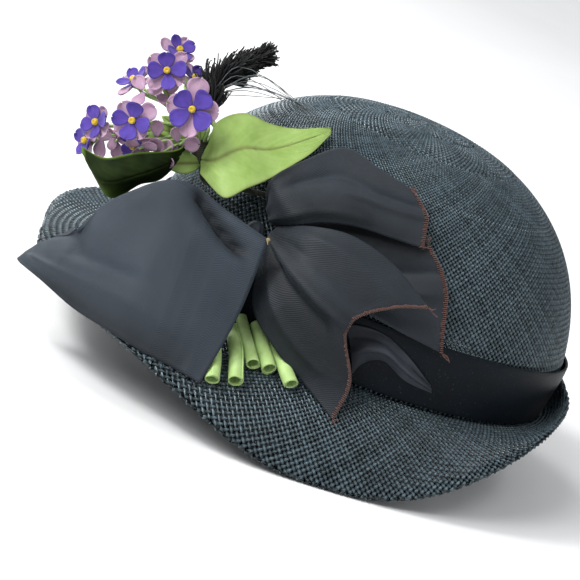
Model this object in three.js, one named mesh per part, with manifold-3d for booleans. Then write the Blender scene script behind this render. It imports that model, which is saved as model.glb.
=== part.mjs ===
// A woven straw cloche hat with a satin band, a ribbon bow, and a bunch of cloth violets with a plume.
// Millimetres, +Z up. The front of the hat faces -Y and its trimmed side faces +X.
import * as THREE from 'three';
import { mergeVertices } from 'three/addons/utils/BufferGeometryUtils.js';
import Module from 'manifold-3d';

const wasm = await Module();
wasm.setup();

// Driving dimensions of the straw
const gap = 0.3;
const slack = 0.1;
const strawWall = 1.6;
const crownHalfLength = 101;
const crownHalfWidth = 84;
const crownHeight = 102;
const crownSquareness = 2.34;
const crownLean = -1.4;
const waistShare = 0.03;
const waistHeight = 28;
const collarHeight = 8;
const collarTurn = 1.4;
const brimDrop = 34;
const brimFrontRise = 26.5;
const brimBackRise = 48;
const brimFrontSpan = 52;
const brimBackSpan = 76;
const brimLowAngle = 90;
const brimWidths = { front: 45, frontQuarter: 64.5, side: 39, backQuarter: 26, back: 6 };
// How far out on the brim its turn lies, as shares of its width there
const brimShoulders = { front: 0.5, frontQuarter: 0.5, side: 0.5, backQuarter: 0.65, back: 0.9 };
const hemWidth = 6;
const hemWall = 2.4;

// Driving dimensions of the trim
const bandLow = 1.2;
const bandHeight = 28.5;
const bandWall = 1.2;
const bandBackFlare = 1;
const bandBackDip = 4;
const ribbonWall = 1;
const knotHalf = { along: 4.5, out: 3.6, up: 6 };
const loopDepth = 18;
const loopFold = 4;
const leafWall = 1;
const petalWall = 1;
const petalCount = 4;
const violetRadius = 7.8;
// The mauve petals behind reach further than the violet ones, as a share of their radius
const mauveShare = 1.35;
const petalCup = 1.8;
const sepalSpace = 0.5;
const violetStemRadius = 0.8;
const violetNeck = 5;
const stemSeatRadius = 2.9;
const stemRise = 5;
const stemSpread = 4;
const beadRadius = 1.9;
const cutStemRadius = 2.7;
const cutStemWall = 1;
const bindingRadius = 4.2;
const bindingHeight = 11;
const wireRadius = 1.5;
const quillRadius = 1;
const lockLength = 12;
const lockRadius = 2.2;

// How finely the curved pieces are cut
const crownColumns = 52;
const crownRows = 10;
const brimColumns = 60;
const brimRows = 6;
const bandColumns = 56;

// The finishes
const finish = (color, roughness) => new THREE.MeshStandardMaterial({ color, roughness, metalness: 0 });
const straw = finish(0x1b1e24, 0.55);
const satin = finish(0x10131a, 0.45);
const ribbon = finish(0x33373f, 0.7);
const paleLeaf = finish(0xa9cc6e, 0.8);
const darkLeaf = finish(0x46601f, 0.8);
const stemCloth = finish(0x93c46b, 0.8);
const violetCloth = finish(0x5044b8, 0.85);
const mauveCloth = finish(0xcba6cc, 0.85);
const yellowBead = finish(0xe8d520, 0.5);
const blackFeather = finish(0x0c0c0e, 0.8);
const darkWire = finish(0x2a2f1c, 0.7);

const radians = THREE.MathUtils.degToRad;
const clamp = THREE.MathUtils.clamp;

// A smooth step with level ends
function easeLevel(t) {
  const c = clamp(t, 0, 1);
  return c * c * c * (10 - 15 * c + 6 * c * c);
}

// A value that runs smoothly from the front to the back through five stations, alike on both sides
function aroundHat(stations, angle) {
  const s = [stations.front, stations.frontQuarter, stations.side, stations.backQuarter, stations.back];
  const turn = Math.abs(Math.atan2(Math.sin(angle), Math.cos(angle)));
  const place = (turn / Math.PI) * (s.length - 1);
  const i = Math.min(Math.floor(place), s.length - 2);
  const t = place - i;
  const before = s[Math.abs(i - 1)];
  const after = i + 2 < s.length ? s[i + 2] : s[s.length - 2];
  const bend = 2 * before - 5 * s[i] + 4 * s[i + 1] - after;
  const twist = 3 * s[i] - 3 * s[i + 1] + after - before;
  return 0.5 * (2 * s[i] + (s[i + 1] - before) * t + bend * t * t + twist * t * t * t);
}

// The crown's plan is an ellipse: its radius at an angle from the front
function planRadius(angle) {
  return 1 / Math.hypot(Math.sin(angle) / crownHalfWidth, Math.cos(angle) / crownHalfLength);
}

// The crown narrows to its waist at the join
function waist(z) {
  const t = clamp(z / waistHeight, 0, 1);
  return 1 - waistShare * (1 - t * t * (3 - 2 * t));
}

// The crown's outer wall: climb runs from 0 at the join to 1 at the top
function crownOuter(angle, climb) {
  const w = (climb * Math.PI) / 2;
  const z = crownHeight * Math.sin(w) ** (2 / crownSquareness);
  const inward = Math.max(Math.cos(w), 0) ** (2 / crownSquareness);
  return { r: planRadius(angle) * inward * waist(z), z };
}

function crownRadiusAt(angle, z) {
  const height = clamp(z / crownHeight, 0, 1);
  const w = Math.asin(height ** (crownSquareness / 2));
  return planRadius(angle) * Math.cos(w) ** (2 / crownSquareness) * waist(z);
}

const joinRadius = (angle) => crownRadiusAt(angle, 0);
const rimRadius = (angle) => joinRadius(angle) + aroundHat(brimWidths, angle);

function rimHeight(angle) {
  const turn = THREE.MathUtils.radToDeg(Math.abs(Math.atan2(Math.sin(angle), Math.cos(angle))));
  const past = turn - brimLowAngle;
  if (past < 0) return -brimDrop + brimFrontRise * easeLevel(-past / brimFrontSpan);
  return -brimDrop + brimBackRise * easeLevel(past / brimBackSpan);
}

// The middle line of the brim's wall, from the collar's foot at share 0 to the rim at share 1
function brimLine(angle, share) {
  const start = { r: joinRadius(angle) - strawWall * 1.5 - gap, z: -collarTurn };
  const shoulder = {
    r: joinRadius(angle) + aroundHat(brimShoulders, angle) * aroundHat(brimWidths, angle),
    z: -collarTurn,
  };
  const a = (1 - share) * (1 - share);
  const b = 2 * share * (1 - share);
  const c = share * share;
  return {
    r: a * start.r + b * shoulder.r + c * rimRadius(angle),
    z: a * start.z + b * shoulder.z + c * rimHeight(angle),
  };
}

function brimTopAt(angle, r) {
  let low = 0;
  let high = 1;
  for (let k = 0; k < 24; k += 1) {
    const middle = (low + high) / 2;
    if (brimLine(angle, middle).r < r) low = middle;
    else high = middle;
  }
  return brimLine(angle, high).z + hemWall / 2;
}

const behindHead = (angle) => Math.max(-Math.cos(angle), 0) ** 4;
const bandTop = (angle) => bandLow + bandHeight - bandBackDip * behindHead(angle);

// Behind the head the band's upper edge dips and stands off the crown
function bandInner(angle, z) {
  const behind = behindHead(angle);
  const up = clamp((z - bandLow) / bandHeight, 0, 1);
  return crownRadiusAt(angle, z) + gap + slack + bandBackFlare * behind * up * up;
}

// The outside of the crown, with the band where it lies
function hatRadiusAt(angle, z) {
  const wall = crownRadiusAt(angle, Math.max(z, 0));
  if (z > bandTop(angle) + 1) return wall;
  return Math.max(wall, bandInner(angle, clamp(z, bandLow, bandTop(angle))) + bandWall);
}

// A point that would sink into the hat lies on it instead, its middle line lifted by half its thickness
function restOn(point, lift) {
  const angle = Math.atan2(point.x, -point.y);
  const r = Math.max(Math.hypot(point.x, point.y), hatRadiusAt(angle, point.z) + lift);
  const overBrim = r < rimRadius(angle) + hemWall;
  const z = overBrim ? Math.max(point.z, brimTopAt(angle, r) + lift) : point.z;
  return new THREE.Vector3(r * Math.sin(angle), -r * Math.cos(angle), z);
}

// Places in the trim's tables are shares of the crown's sizes: fore of its half length towards the front,
// rise of its height above the join, and out of its half width towards the trimmed side
const shareColumns = ['fore', 'rise', 'out'];

function place(row) {
  const share = Object.fromEntries(shareColumns.map((name, k) => [name, row[k]]));
  return new THREE.Vector3(share.out * crownHalfWidth, -share.fore * crownHalfLength, share.rise * crownHeight);
}

// A closed mesh whose faces point outwards
function solid(name, material, positions, indices) {
  let sixVolumes = 0;
  const corner = (i) => new THREE.Vector3(...positions.slice(3 * i, 3 * i + 3));
  for (let k = 0; k < indices.length; k += 3) {
    const [a, b, c] = [corner(indices[k]), corner(indices[k + 1]), corner(indices[k + 2])];
    sixVolumes += a.dot(b.cross(c));
  }
  const turned = [];
  for (let k = 0; k < indices.length; k += 3) {
    if (sixVolumes > 0) turned.push(indices[k], indices[k + 1], indices[k + 2]);
    else turned.push(indices[k], indices[k + 2], indices[k + 1]);
  }
  const geometry = new THREE.BufferGeometry();
  geometry.setAttribute('position', new THREE.Float32BufferAttribute(positions, 3));
  geometry.setIndex(turned);
  geometry.computeVertexNormals();
  const mesh = new THREE.Mesh(geometry, material);
  mesh.name = name;
  return mesh;
}

// Sweeps a section around the hat's axis: the section closes on itself, or starts and ends on the axis
function sweepAround(name, material, columns, sectionAt, onAxis) {
  const positions = [];
  const indices = [];
  const count = sectionAt(0).length - (onAxis ? 2 : 0);
  for (let i = 0; i < columns; i += 1) {
    const angle = (2 * Math.PI * i) / columns;
    const section = onAxis ? sectionAt(angle).slice(1, -1) : sectionAt(angle);
    for (const p of section) positions.push(p.r * Math.sin(angle), (p.y ?? 0) - p.r * Math.cos(angle), p.z);
  }
  for (let i = 0; i < columns; i += 1) {
    const next = (i + 1) % columns;
    const last = onAxis ? count - 1 : count;
    for (let k = 0; k < last; k += 1) {
      const up = (k + 1) % count;
      const [a, b, c, d] = [i * count + k, next * count + k, next * count + up, i * count + up];
      indices.push(a, b, c, a, c, d);
    }
  }
  if (onAxis) {
    const ends = [sectionAt(0)[0], sectionAt(0).at(-1)];
    for (const [which, end] of ends.entries()) {
      const tip = positions.length / 3;
      const k = which === 0 ? 0 : count - 1;
      positions.push(0, end.y ?? 0, end.z);
      for (let i = 0; i < columns; i += 1) {
        const [a, b] = [i * count + k, ((i + 1) % columns) * count + k];
        if (which === 0) indices.push(tip, b, a);
        else indices.push(tip, a, b);
      }
    }
  }
  return solid(name, material, positions, indices);
}

// Offsets a line in the section plane to one side, by half the wall at each point
function offsetLine(line, halfWallAt, side) {
  return line.map((p, k) => {
    const before = line[Math.max(k - 1, 0)];
    const after = line[Math.min(k + 1, line.length - 1)];
    const [dr, dz] = [after.r - before.r, after.z - before.z];
    const length = Math.hypot(dr, dz);
    const shift = (side * halfWallAt(k)) / length;
    return { r: p.r + dz * shift, z: p.z - dr * shift };
  });
}

function makeCrown() {
  const leaning = (p) => ({ ...p, y: crownLean * (p.z / crownHeight) ** 2 });
  const section = (angle) => {
    const climbs = Array.from({ length: crownRows }, (_, k) => 1 - (k + 0.55) / (crownRows + 0.05));
    const outer = climbs.map((climb) => crownOuter(angle, climb)).concat(crownOuter(angle, 0));
    const inner = offsetLine(outer, () => strawWall, 1);
    inner[inner.length - 1] = { r: outer.at(-1).r - strawWall, z: 0 };
    const top = { r: 0, z: crownHeight };
    const ceiling = { r: 0, z: crownHeight - strawWall };
    return [top, ...outer, ...inner.reverse(), ceiling].map(leaning);
  };
  return sweepAround('crown', straw, crownColumns, section, true);
}

function makeBrim() {
  const section = (angle) => {
    const collarRadius = brimLine(angle, 0).r;
    const line = [{ r: collarRadius, z: collarHeight }, { r: collarRadius, z: collarHeight / 3 }];
    for (let k = 0; k <= brimRows; k += 1) line.push(brimLine(angle, (k / brimRows) ** 0.9));
    const rim = line.at(-1);
    const halfWallAt = (k) => {
      const inHem = Math.hypot(line[k].r - rim.r, line[k].z - rim.z) < hemWidth;
      return (inHem && k > 2 ? hemWall : strawWall) / 2;
    };
    return [...offsetLine(line, halfWallAt, 1), ...offsetLine(line, halfWallAt, -1).reverse()];
  };
  return sweepAround('brim', straw, brimColumns, section, false);
}

function makeBand() {
  const section = (angle) => {
    const levels = [0, 0.5, 1].map((share) => bandLow + share * (bandTop(angle) - bandLow));
    const inner = levels.map((z) => ({ r: bandInner(angle, z), z }));
    const outer = levels.map((z) => ({ r: bandInner(angle, z) + bandWall, z }));
    return [...inner, ...outer.reverse()];
  };
  return sweepAround('hat_band', satin, bandColumns, section, false);
}

// A smooth surface through a net of points: lines run the same way and hold as many points each, and
// liftAt gives how far the sheet stays off the hat at its shares along and across
function throughNet(net, along, across, liftAt) {
  const lines = net.map((line) => new THREE.CatmullRomCurve3(line.map(place), false, 'centripetal'));
  const grid = [];
  for (let i = 0; i <= along; i += 1) {
    const points = lines.map((line) => line.getPoint(i / along));
    const curve = new THREE.CatmullRomCurve3(points, false, 'centripetal');
    const rested = (j) => restOn(curve.getPoint(j / across), liftAt(i / along, j / across));
    grid.push(Array.from({ length: across + 1 }, (_, j) => rested(j)));
  }
  return grid;
}

// Thickens a grid of points to a closed sheet
function sheet(name, material, grid, wall) {
  const [rows, columns] = [grid.length, grid[0].length];
  const normalAt = (i, j) => {
    const alongWay = grid[Math.min(i + 1, rows - 1)][j].clone().sub(grid[Math.max(i - 1, 0)][j]);
    const acrossWay = grid[i][Math.min(j + 1, columns - 1)].clone().sub(grid[i][Math.max(j - 1, 0)]);
    return alongWay.cross(acrossWay).normalize();
  };
  const positions = [];
  for (const side of [1, -1]) {
    for (let i = 0; i < rows; i += 1) {
      for (let j = 0; j < columns; j += 1) {
        const p = grid[i][j].clone().addScaledVector(normalAt(i, j), (side * wall) / 2);
        positions.push(p.x, p.y, p.z);
      }
    }
  }
  const under = rows * columns;
  const at = (i, j) => i * columns + j;
  const indices = [];
  for (let i = 0; i + 1 < rows; i += 1) {
    for (let j = 0; j + 1 < columns; j += 1) {
      const [a, b, c, d] = [at(i, j), at(i + 1, j), at(i + 1, j + 1), at(i, j + 1)];
      indices.push(a, b, c, a, c, d, under + a, under + c, under + b, under + a, under + d, under + c);
    }
  }
  const edge = [];
  for (let i = 0; i + 1 < rows; i += 1) edge.push([at(i, 0), at(i + 1, 0)]);
  for (let j = 0; j + 1 < columns; j += 1) edge.push([at(rows - 1, j), at(rows - 1, j + 1)]);
  for (let i = rows - 1; i > 0; i -= 1) edge.push([at(i, columns - 1), at(i - 1, columns - 1)]);
  for (let j = columns - 1; j > 0; j -= 1) edge.push([at(0, j), at(0, j - 1)]);
  for (const [a, b] of edge) indices.push(b, a, under + a, b, under + a, under + b);
  return solid(name, material, positions, indices);
}

// The ribbons lie over one another at the knot, each lifted by one more thickness
const layer = (count) => ribbonWall / 2 + gap + slack + count * (ribbonWall + gap + slack);
const onLayer = (count) => () => layer(count);
// The loop lies lowest along its lower edge, and the middle tail at its free end
const loopLift = (along, across) => layer(3 - 2 * across);
const middleTailLift = (along) => layer(2 - 1.6 * along);

const loopNet = [
  [[0.56, 0.45, 1.03], [0.75, 0.49, 1.02], [0.9, 0.54, 1.03], [1.02, 0.53, 1.04], [1.17, 0.41, 1.05],
    [1.29, 0.25, 1.02], [1.4, 0.08, 1]],
  [[0.57, 0.16, 1.23], [0.74, 0.18, 1.28], [0.89, 0.22, 1.29], [1.02, 0.22, 1.28], [1.19, 0.16, 1.22],
    [1.35, 0.08, 1.1], [1.43, 0.03, 0.98]],
  [[0.62, -0.116, 1.42], [0.744, -0.096, 1.42], [0.887, -0.08, 1.42], [1.02, -0.06, 1.4], [1.2, -0.06, 1.27],
    [1.37, -0.03, 1.13], [1.46, -0.03, 1]],
];
const upperTailNet = [
  [[0.61, 0.53, 0.8], [0.64, 0.65, 0.86], [0.54, 0.76, 0.78], [0.38, 0.86, 0.66], [0.22, 0.84, 0.71],
    [0.07, 0.82, 0.75]],
  [[0.58, 0.5, 0.8], [0.55, 0.59, 0.92], [0.46, 0.67, 0.89], [0.33, 0.73, 0.86], [0.18, 0.74, 0.85],
    [-0.02, 0.76, 0.82]],
  [[0.55, 0.47, 0.8], [0.46, 0.54, 0.93], [0.35, 0.59, 0.93], [0.22, 0.62, 0.93], [0.09, 0.63, 0.93],
    [-0.05, 0.64, 0.93]],
];
const secondTailNet = [
  [[0.53, 0.5, 0.8], [0.38, 0.56, 0.84], [0.2, 0.61, 0.84], [0.06, 0.63, 0.85], [-0.05, 0.67, 0.87]],
  [[0.53, 0.43, 0.8], [0.36, 0.45, 0.95], [0.17, 0.46, 0.97], [-0.02, 0.49, 0.97], [-0.19, 0.55, 0.95]],
  [[0.53, 0.4, 0.8], [0.35, 0.37, 0.99], [0.17, 0.34, 1.03], [-0.03, 0.31, 1.05], [-0.29, 0.28, 1.03]],
];
const middleTailNet = [
  [[0.55, 0.38, 0.85], [0.51, 0.17, 1.06], [0.37, 0.06, 1.12], [0.23, -0.01, 1.15], [0.045, -0.106, 1.245]],
  [[0.55, 0.41, 0.85], [0.44, 0.25, 1.11], [0.29, 0.15, 1.17], [0.16, 0.1, 1.19], [0.03, 0.05, 1.19]],
  [[0.55, 0.44, 0.85], [0.43, 0.42, 1.12], [0.31, 0.37, 1.21], [0.21, 0.32, 1.22], [0.14, 0.28, 1.2]],
  [[0.54, 0.46, 0.85], [0.43, 0.51, 1.07], [0.28, 0.5, 1.13], [0.14, 0.45, 1.15], [0, 0.4, 1.14]],
  [[0.53, 0.48, 0.85], [0.4, 0.57, 1.01], [0.26, 0.6, 1.05], [0.06, 0.56, 1.07], [-0.15, 0.45, 1.09]],
];
const bandFoldNet = [
  [[0.13, 0.24, 1], [0.05, 0.26, 1], [-0.04, 0.26, 1], [-0.17, 0.25, 1], [-0.31, 0.24, 0.98]],
  [[0.06, 0.14, 1.03], [0.01, 0.19, 1.06], [-0.06, 0.21, 1.07], [-0.18, 0.19, 1.04], [-0.32, 0.17, 1]],
  [[0.02, 0.05, 1.02], [-0.01, 0.12, 1.02], [-0.07, 0.16, 1.03], [-0.2, 0.13, 1.02], [-0.33, 0.11, 0.98]],
];
const paleLeafNet = [
  [[0.92, 0.655, 0.66], [0.915, 0.755, 0.65], [0.82, 0.82, 0.56], [0.71, 0.81, 0.54], [0.57, 0.84, 0.5],
    [0.455, 0.885, 0.48]],
  [[0.92, 0.59, 0.68], [0.87, 0.635, 0.77], [0.78, 0.7, 0.73], [0.68, 0.73, 0.66], [0.56, 0.8, 0.57],
    [0.45, 0.875, 0.485]],
  [[0.9, 0.54, 0.73], [0.785, 0.53, 0.95], [0.71, 0.59, 0.89], [0.62, 0.66, 0.78], [0.52, 0.76, 0.66],
    [0.445, 0.865, 0.49]],
];
const darkLeafNet = [
  [[0.988, 0.63, 0.625], [1.05, 0.6, 0.8], [1.18, 0.55, 0.86], [1.3, 0.48, 0.87], [1.4, 0.47, 0.79]],
  [[0.988, 0.59, 0.63], [1.05, 0.54, 0.82], [1.14, 0.47, 0.89], [1.27, 0.4, 0.91], [1.39, 0.455, 0.81]],
  [[0.986, 0.55, 0.625], [1.04, 0.48, 0.77], [1.11, 0.42, 0.79], [1.22, 0.33, 0.83], [1.375, 0.44, 0.8]],
];

function makeBowLoop() {
  const along = 9;
  const across = 5;
  const outer = throughNet(loopNet, along, across, loopLift);
  const shifted = (point, share) => {
    const depth = loopFold + loopDepth * (1 - share) ** 0.7;
    return restOn(point.clone().add(new THREE.Vector3(-depth, 0, 0)), layer(0));
  };
  const foldRow = outer[along].map((p) => p.clone().add(new THREE.Vector3(-loopFold / 2, -loopFold * 0.4, 0)));
  const inner = outer.map((row, i) => row.map((p) => shifted(p, i / along))).slice(1).reverse();
  return sheet('bow_loop', ribbon, [...outer, foldRow, ...inner], ribbonWall);
}

// The knot is a gathered pad on the band, where the ribbons meet
function makeBowKnot() {
  const centre = place([0.615, 0.4, 0.8]);
  const angle = Math.atan2(centre.x, -centre.y);
  const pad = new THREE.SphereGeometry(1, 12, 8);
  pad.scale(knotHalf.along, knotHalf.out, knotHalf.up);
  pad.rotateZ(angle);
  const r = hatRadiusAt(angle, centre.z) + gap + slack + knotHalf.out;
  pad.translate(r * Math.sin(angle), -r * Math.cos(angle), centre.z);
  return named('bow_knot', ribbon, pad);
}

// A plain three.js geometry with its seams closed
function closed(geometry) {
  for (const key of ['normal', 'uv']) geometry.deleteAttribute(key);
  return mergeVertices(geometry, 1e-4);
}

function named(name, material, geometry) {
  const mesh = new THREE.Mesh(closed(geometry), material);
  mesh.name = name;
  return mesh;
}

// A round bar along points, tapered by radiusAt; a bore makes it a tube with open ends
function bar(points, radiusAt, sides, steps, wall = 0) {
  const curve = new THREE.CatmullRomCurve3(points, false, 'centripetal');
  const frames = curve.computeFrenetFrames(steps, false);
  const positions = [];
  const ring = (i, radius) => {
    const centre = curve.getPointAt(i / steps);
    for (let k = 0; k < sides; k += 1) {
      const turn = (2 * Math.PI * k) / sides;
      const p = centre.clone().addScaledVector(frames.normals[i], radius * Math.cos(turn));
      p.addScaledVector(frames.binormals[i], radius * Math.sin(turn));
      positions.push(p.x, p.y, p.z);
    }
  };
  for (let i = 0; i <= steps; i += 1) ring(i, radiusAt(i / steps));
  if (wall > 0) for (let i = steps; i >= 0; i -= 1) ring(i, radiusAt(i / steps) - wall);
  const rings = positions.length / 3 / sides;
  const indices = [];
  const span = wall > 0 ? rings : rings - 1;
  for (let i = 0; i < span; i += 1) {
    for (let k = 0; k < sides; k += 1) {
      const [a, b] = [i * sides + k, i * sides + ((k + 1) % sides)];
      const [c, d] = [(((i + 1) % rings) * sides) + ((k + 1) % sides), (((i + 1) % rings) * sides) + k];
      indices.push(a, b, c, a, c, d);
    }
  }
  if (wall === 0) {
    for (const i of [0, rings - 1]) {
      const hub = positions.length / 3;
      const centre = curve.getPointAt(i / steps);
      positions.push(centre.x, centre.y, centre.z);
      for (let k = 0; k < sides; k += 1) {
        const [a, b] = [i * sides + k, i * sides + ((k + 1) % sides)];
        if (i === 0) indices.push(hub, b, a);
        else indices.push(hub, a, b);
      }
    }
  }
  return { positions, indices };
}

function barMesh(name, material, ...shape) {
  const { positions, indices } = bar(...shape);
  return solid(name, material, positions, indices);
}

// The bunch is tied at one point ahead of the crown, above the bow
const bindingPlace = place([0.93, 0.6, 0.6]);
const bindingAxis = new THREE.Vector3(-0.15, -0.45, 1).normalize();

function makeBinding() {
  const cylinder = new THREE.CylinderGeometry(bindingRadius, bindingRadius * 0.85, bindingHeight, 12);
  cylinder.applyQuaternion(new THREE.Quaternion().setFromUnitVectors(new THREE.Vector3(0, 1, 0), bindingAxis));
  cylinder.translate(bindingPlace.x, bindingPlace.y, bindingPlace.z);
  return named('bunch_binding', darkWire, cylinder);
}

// The twisted wires lead from the binding's foot to the crown, where they are sewn down
function makeWires() {
  const foot = bindingPlace.clone().addScaledVector(bindingAxis, -bindingHeight / 2 - gap);
  const route = [foot, place([0.87, 0.5, 0.62]), place([0.78, 0.52, 0.64]), place([0.6, 0.55, 0.66])];
  const rested = route.map((p, k) => (k === route.length - 1 ? restOn(p, wireRadius + gap + slack) : p));
  return barMesh('bunch_wires', darkWire, rested, () => wireRadius, 6, 8);
}

// A cupped disc with a lobed outline about +Z, its centre at the origin
function lobedDisc(outlineAt, cup, wall, sides, rings) {
  const positions = [];
  const indices = [];
  for (const side of [1, -1]) {
    const first = positions.length / 3;
    positions.push(0, 0, (side * wall) / 2);
    for (let ring = 1; ring <= rings; ring += 1) {
      for (let k = 0; k < sides; k += 1) {
        const turn = (2 * Math.PI * k) / sides;
        const r = (outlineAt(turn) * ring) / rings;
        positions.push(r * Math.cos(turn), r * Math.sin(turn), cup(r, turn) + (side * wall) / 2);
      }
    }
    const at = (ring, k) => first + 1 + (ring - 1) * sides + (k % sides);
    const add = (a, b, c) => (side > 0 ? indices.push(a, b, c) : indices.push(a, c, b));
    for (let k = 0; k < sides; k += 1) {
      add(first, at(1, k), at(1, k + 1));
      for (let ring = 1; ring < rings; ring += 1) {
        add(at(ring, k), at(ring + 1, k), at(ring + 1, k + 1));
        add(at(ring, k), at(ring + 1, k + 1), at(ring, k + 1));
      }
    }
  }
  const half = positions.length / 6;
  for (let k = 0; k < sides; k += 1) {
    const a = half - sides + k;
    const b = half - sides + ((k + 1) % sides);
    indices.push(a, half + a, half + b, a, half + b, b);
  }
  return { positions, indices };
}

// Petals as lobes of one outline: the notches between them reach to a share of the radius
function petals(radius, notch, turned) {
  const lobe = (turn) => Math.abs(Math.cos((petalCount * (turn - turned)) / 2)) ** 0.8;
  return (turn) => radius * (notch + (1 - notch) * lobe(turn));
}

// Each violet: its place, the way it faces (fore, up, out), its size as a share, and its turn in degrees
const violetColumns = ['place', 'facing', 'size', 'turned'];
const violetRows = [
  [[1.04, 0.79, 0.8], [0.25, 0.1, 1], 1.2, 47],
  [[1.25, 0.66, 0.84], [0.3, 0.15, 1], 1.0, 83],
  [[1.38, 0.575, 0.72], [0.8, 0.1, 0.75], 0.9, -10],
  [[1.39, 0.45, 0.52], [0.9, -0.25, 0.6], 0.85, 30],
  [[1.297, 0.748, 0.43], [0.7, 0.55, 0.35], 0.85, 0],
  [[1.19, 0.87, 0.63], [0.2, 0.35, 1], 1.0, 14],
  [[1.17, 0.94, 0.45], [-0.1, 0.8, 0.7], 0.8, 40],
  [[1.06, 0.83, 0.28], [-0.2, 0.6, 0.4], 0.75, 5],
  [[1.2, 0.54, 0.7], [0.3, -0.5, 0.8], 0.8, 25],
];
const sepalDrop = petalWall + sepalSpace;

function makeViolet(row, number) {
  const violet = Object.fromEntries(violetColumns.map((name, k) => [name, row[k]]));
  const [fore, up, out] = violet.facing;
  const facing = new THREE.Vector3(out, -fore, up).normalize();
  const centre = place(violet.place);
  const radius = violetRadius * violet.size;
  const toPlace = new THREE.Matrix4().compose(
    centre,
    new THREE.Quaternion().setFromUnitVectors(new THREE.Vector3(0, 0, 1), facing),
    new THREE.Vector3(1, 1, 1),
  );
  const seated = (name, material, shape, drop) => {
    const placed = [];
    for (let k = 0; k < shape.positions.length; k += 3) {
      const p = new THREE.Vector3(...shape.positions.slice(k, k + 3));
      p.z -= drop;
      p.applyMatrix4(toPlace);
      placed.push(p.x, p.y, p.z);
    }
    return solid(name, material, placed, shape.indices);
  };
  const cupped = (depth) => (r) => depth * (r / radius) ** 2;
  const turned = radians(violet.turned);
  const blades = lobedDisc(petals(radius, 0.4, turned), cupped(petalCup), petalWall, 16, 2);
  const backs = lobedDisc(
    petals(radius * mauveShare, 0.5, turned + Math.PI / petalCount),
    cupped(petalCup / 2),
    petalWall,
    16,
    2,
  );
  const bead = closed(new THREE.SphereGeometry(beadRadius, 6, 4));
  const beadShape = { positions: [...bead.attributes.position.array], indices: [...bead.index.array] };
  const tag = `violet_${number}`;
  return [
    seated(`${tag}_petals`, violetCloth, blades, 0),
    seated(`${tag}_back_petals`, mauveCloth, backs, sepalDrop),
    seated(`${tag}_bead`, yellowBead, beadShape, -(petalWall / 2 + beadRadius + gap)),
    makeVioletStem(tag, centre, facing, number),
  ];
}

// The stems are seated around the binding in the order in which they leave it
const side = new THREE.Vector3(1, 0, 0).projectOnPlane(bindingAxis).normalize();
const other = bindingAxis.clone().cross(side);
const leavingTurns = violetRows.map(([violetPlace]) => {
  const way = place(violetPlace).sub(bindingPlace);
  return Math.atan2(way.dot(other), way.dot(side));
});
const seatTurns = leavingTurns.map((turn) => {
  const rank = leavingTurns.filter((one) => one < turn).length;
  return leavingTurns[0] + (2 * Math.PI * (rank - leavingTurns.filter((one) => one < leavingTurns[0]).length))
    / leavingTurns.length;
});

function makeVioletStem(tag, centre, facing, number) {
  const turn = seatTurns[number - 1];
  const seat = bindingPlace.clone().addScaledVector(bindingAxis, bindingHeight / 2 + gap + violetStemRadius * 0.6);
  seat.addScaledVector(side, stemSeatRadius * Math.cos(turn));
  seat.addScaledVector(other, stemSeatRadius * Math.sin(turn));
  const behind = sepalDrop + petalWall / 2 + gap + slack;
  const top = centre.clone().addScaledVector(facing, -behind);
  const neck = centre.clone().addScaledVector(facing, -behind - violetNeck);
  const spread = seat.clone().sub(bindingPlace).projectOnPlane(bindingAxis).normalize();
  const rise = seat.clone().addScaledVector(bindingAxis, stemRise).addScaledVector(spread, stemSpread);
  return barMesh(`${tag}_stem`, stemCloth, [seat, rise, neck, top], () => violetStemRadius, 5, 5);
}

// Each cut stem: where its roll starts behind the bow and where its open end lies
const cutStemRows = [
  [[0.612, 0, 1.134], [0.581, -0.096, 1.39]],
  [[0.554, 0.027, 0.93], [0.485, -0.079, 1.333]],
  [[0.52, 0.075, 0.89], [0.43, -0.022, 1.193]],
  [[0.455, 0.08, 0.926], [0.36, -0.02, 1.18]],
  [[0.385, 0.06, 0.953], [0.255, -0.039, 1.208]],
];

function makeCutStem([start, end], number) {
  const lift = cutStemRadius + gap + slack * 2;
  const ends = [place(start), place(start).lerp(place(end), 0.55), place(end)].map((p) => restOn(p, lift));
  return barMesh(`cut_stem_${number}`, stemCloth, ends, () => cutStemRadius, 9, 4, cutStemWall);
}

function toManifold(shape) {
  const mesh = new wasm.Mesh({
    numProp: 3,
    vertProperties: new Float32Array(shape.positions),
    triVerts: new Uint32Array(shape.indices),
  });
  return new wasm.Manifold(mesh);
}

// The plume: a bowed quill with curled locks down both sides, joined to one body
function makePlume() {
  const seat = bindingPlace.clone().addScaledVector(bindingAxis, bindingHeight / 2 + 2.5 * gap);
  const spine = [seat, place([0.94, 0.74, 0.47]), place([0.98, 0.84, 0.35]), place([0.931, 0.905, 0.3]),
    place([0.878, 0.965, 0.252]), place([0.8, 1.035, 0.206])];
  const quill = new THREE.CatmullRomCurve3(spine, false, 'centripetal');
  let body = toManifold(bar(spine, (t) => quillRadius * (1 - 0.6 * t), 6, 10));
  const locks = 8;
  for (let k = 0; k < locks; k += 1) {
    for (const side of [1, -1]) {
      const share = 0.5 + (0.46 * k) / (locks - 1);
      const root = quill.getPointAt(share);
      const way = quill.getTangentAt(share);
      const outward = way.clone().cross(new THREE.Vector3(1, 0.3, 0.2)).normalize().multiplyScalar(side);
      const length = lockLength * (1 - 0.45 * share) * (1.15 - 0.3 * Math.abs(Math.sin(k * 2.1)));
      const bend = root.clone().addScaledVector(outward, length * 0.6).addScaledVector(way, length * 0.2);
      const tip = root.clone().addScaledVector(outward, length * 0.75).addScaledVector(way, length * 0.75);
      const lock = bar([root, bend, tip], (t) => lockRadius * (1 - 0.7 * t), 4, 2);
      body = body.add(toManifold(lock));
    }
  }
  const { vertProperties, triVerts } = body.getMesh();
  return solid('plume', blackFeather, [...vertProperties], [...triVerts]);
}

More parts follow.
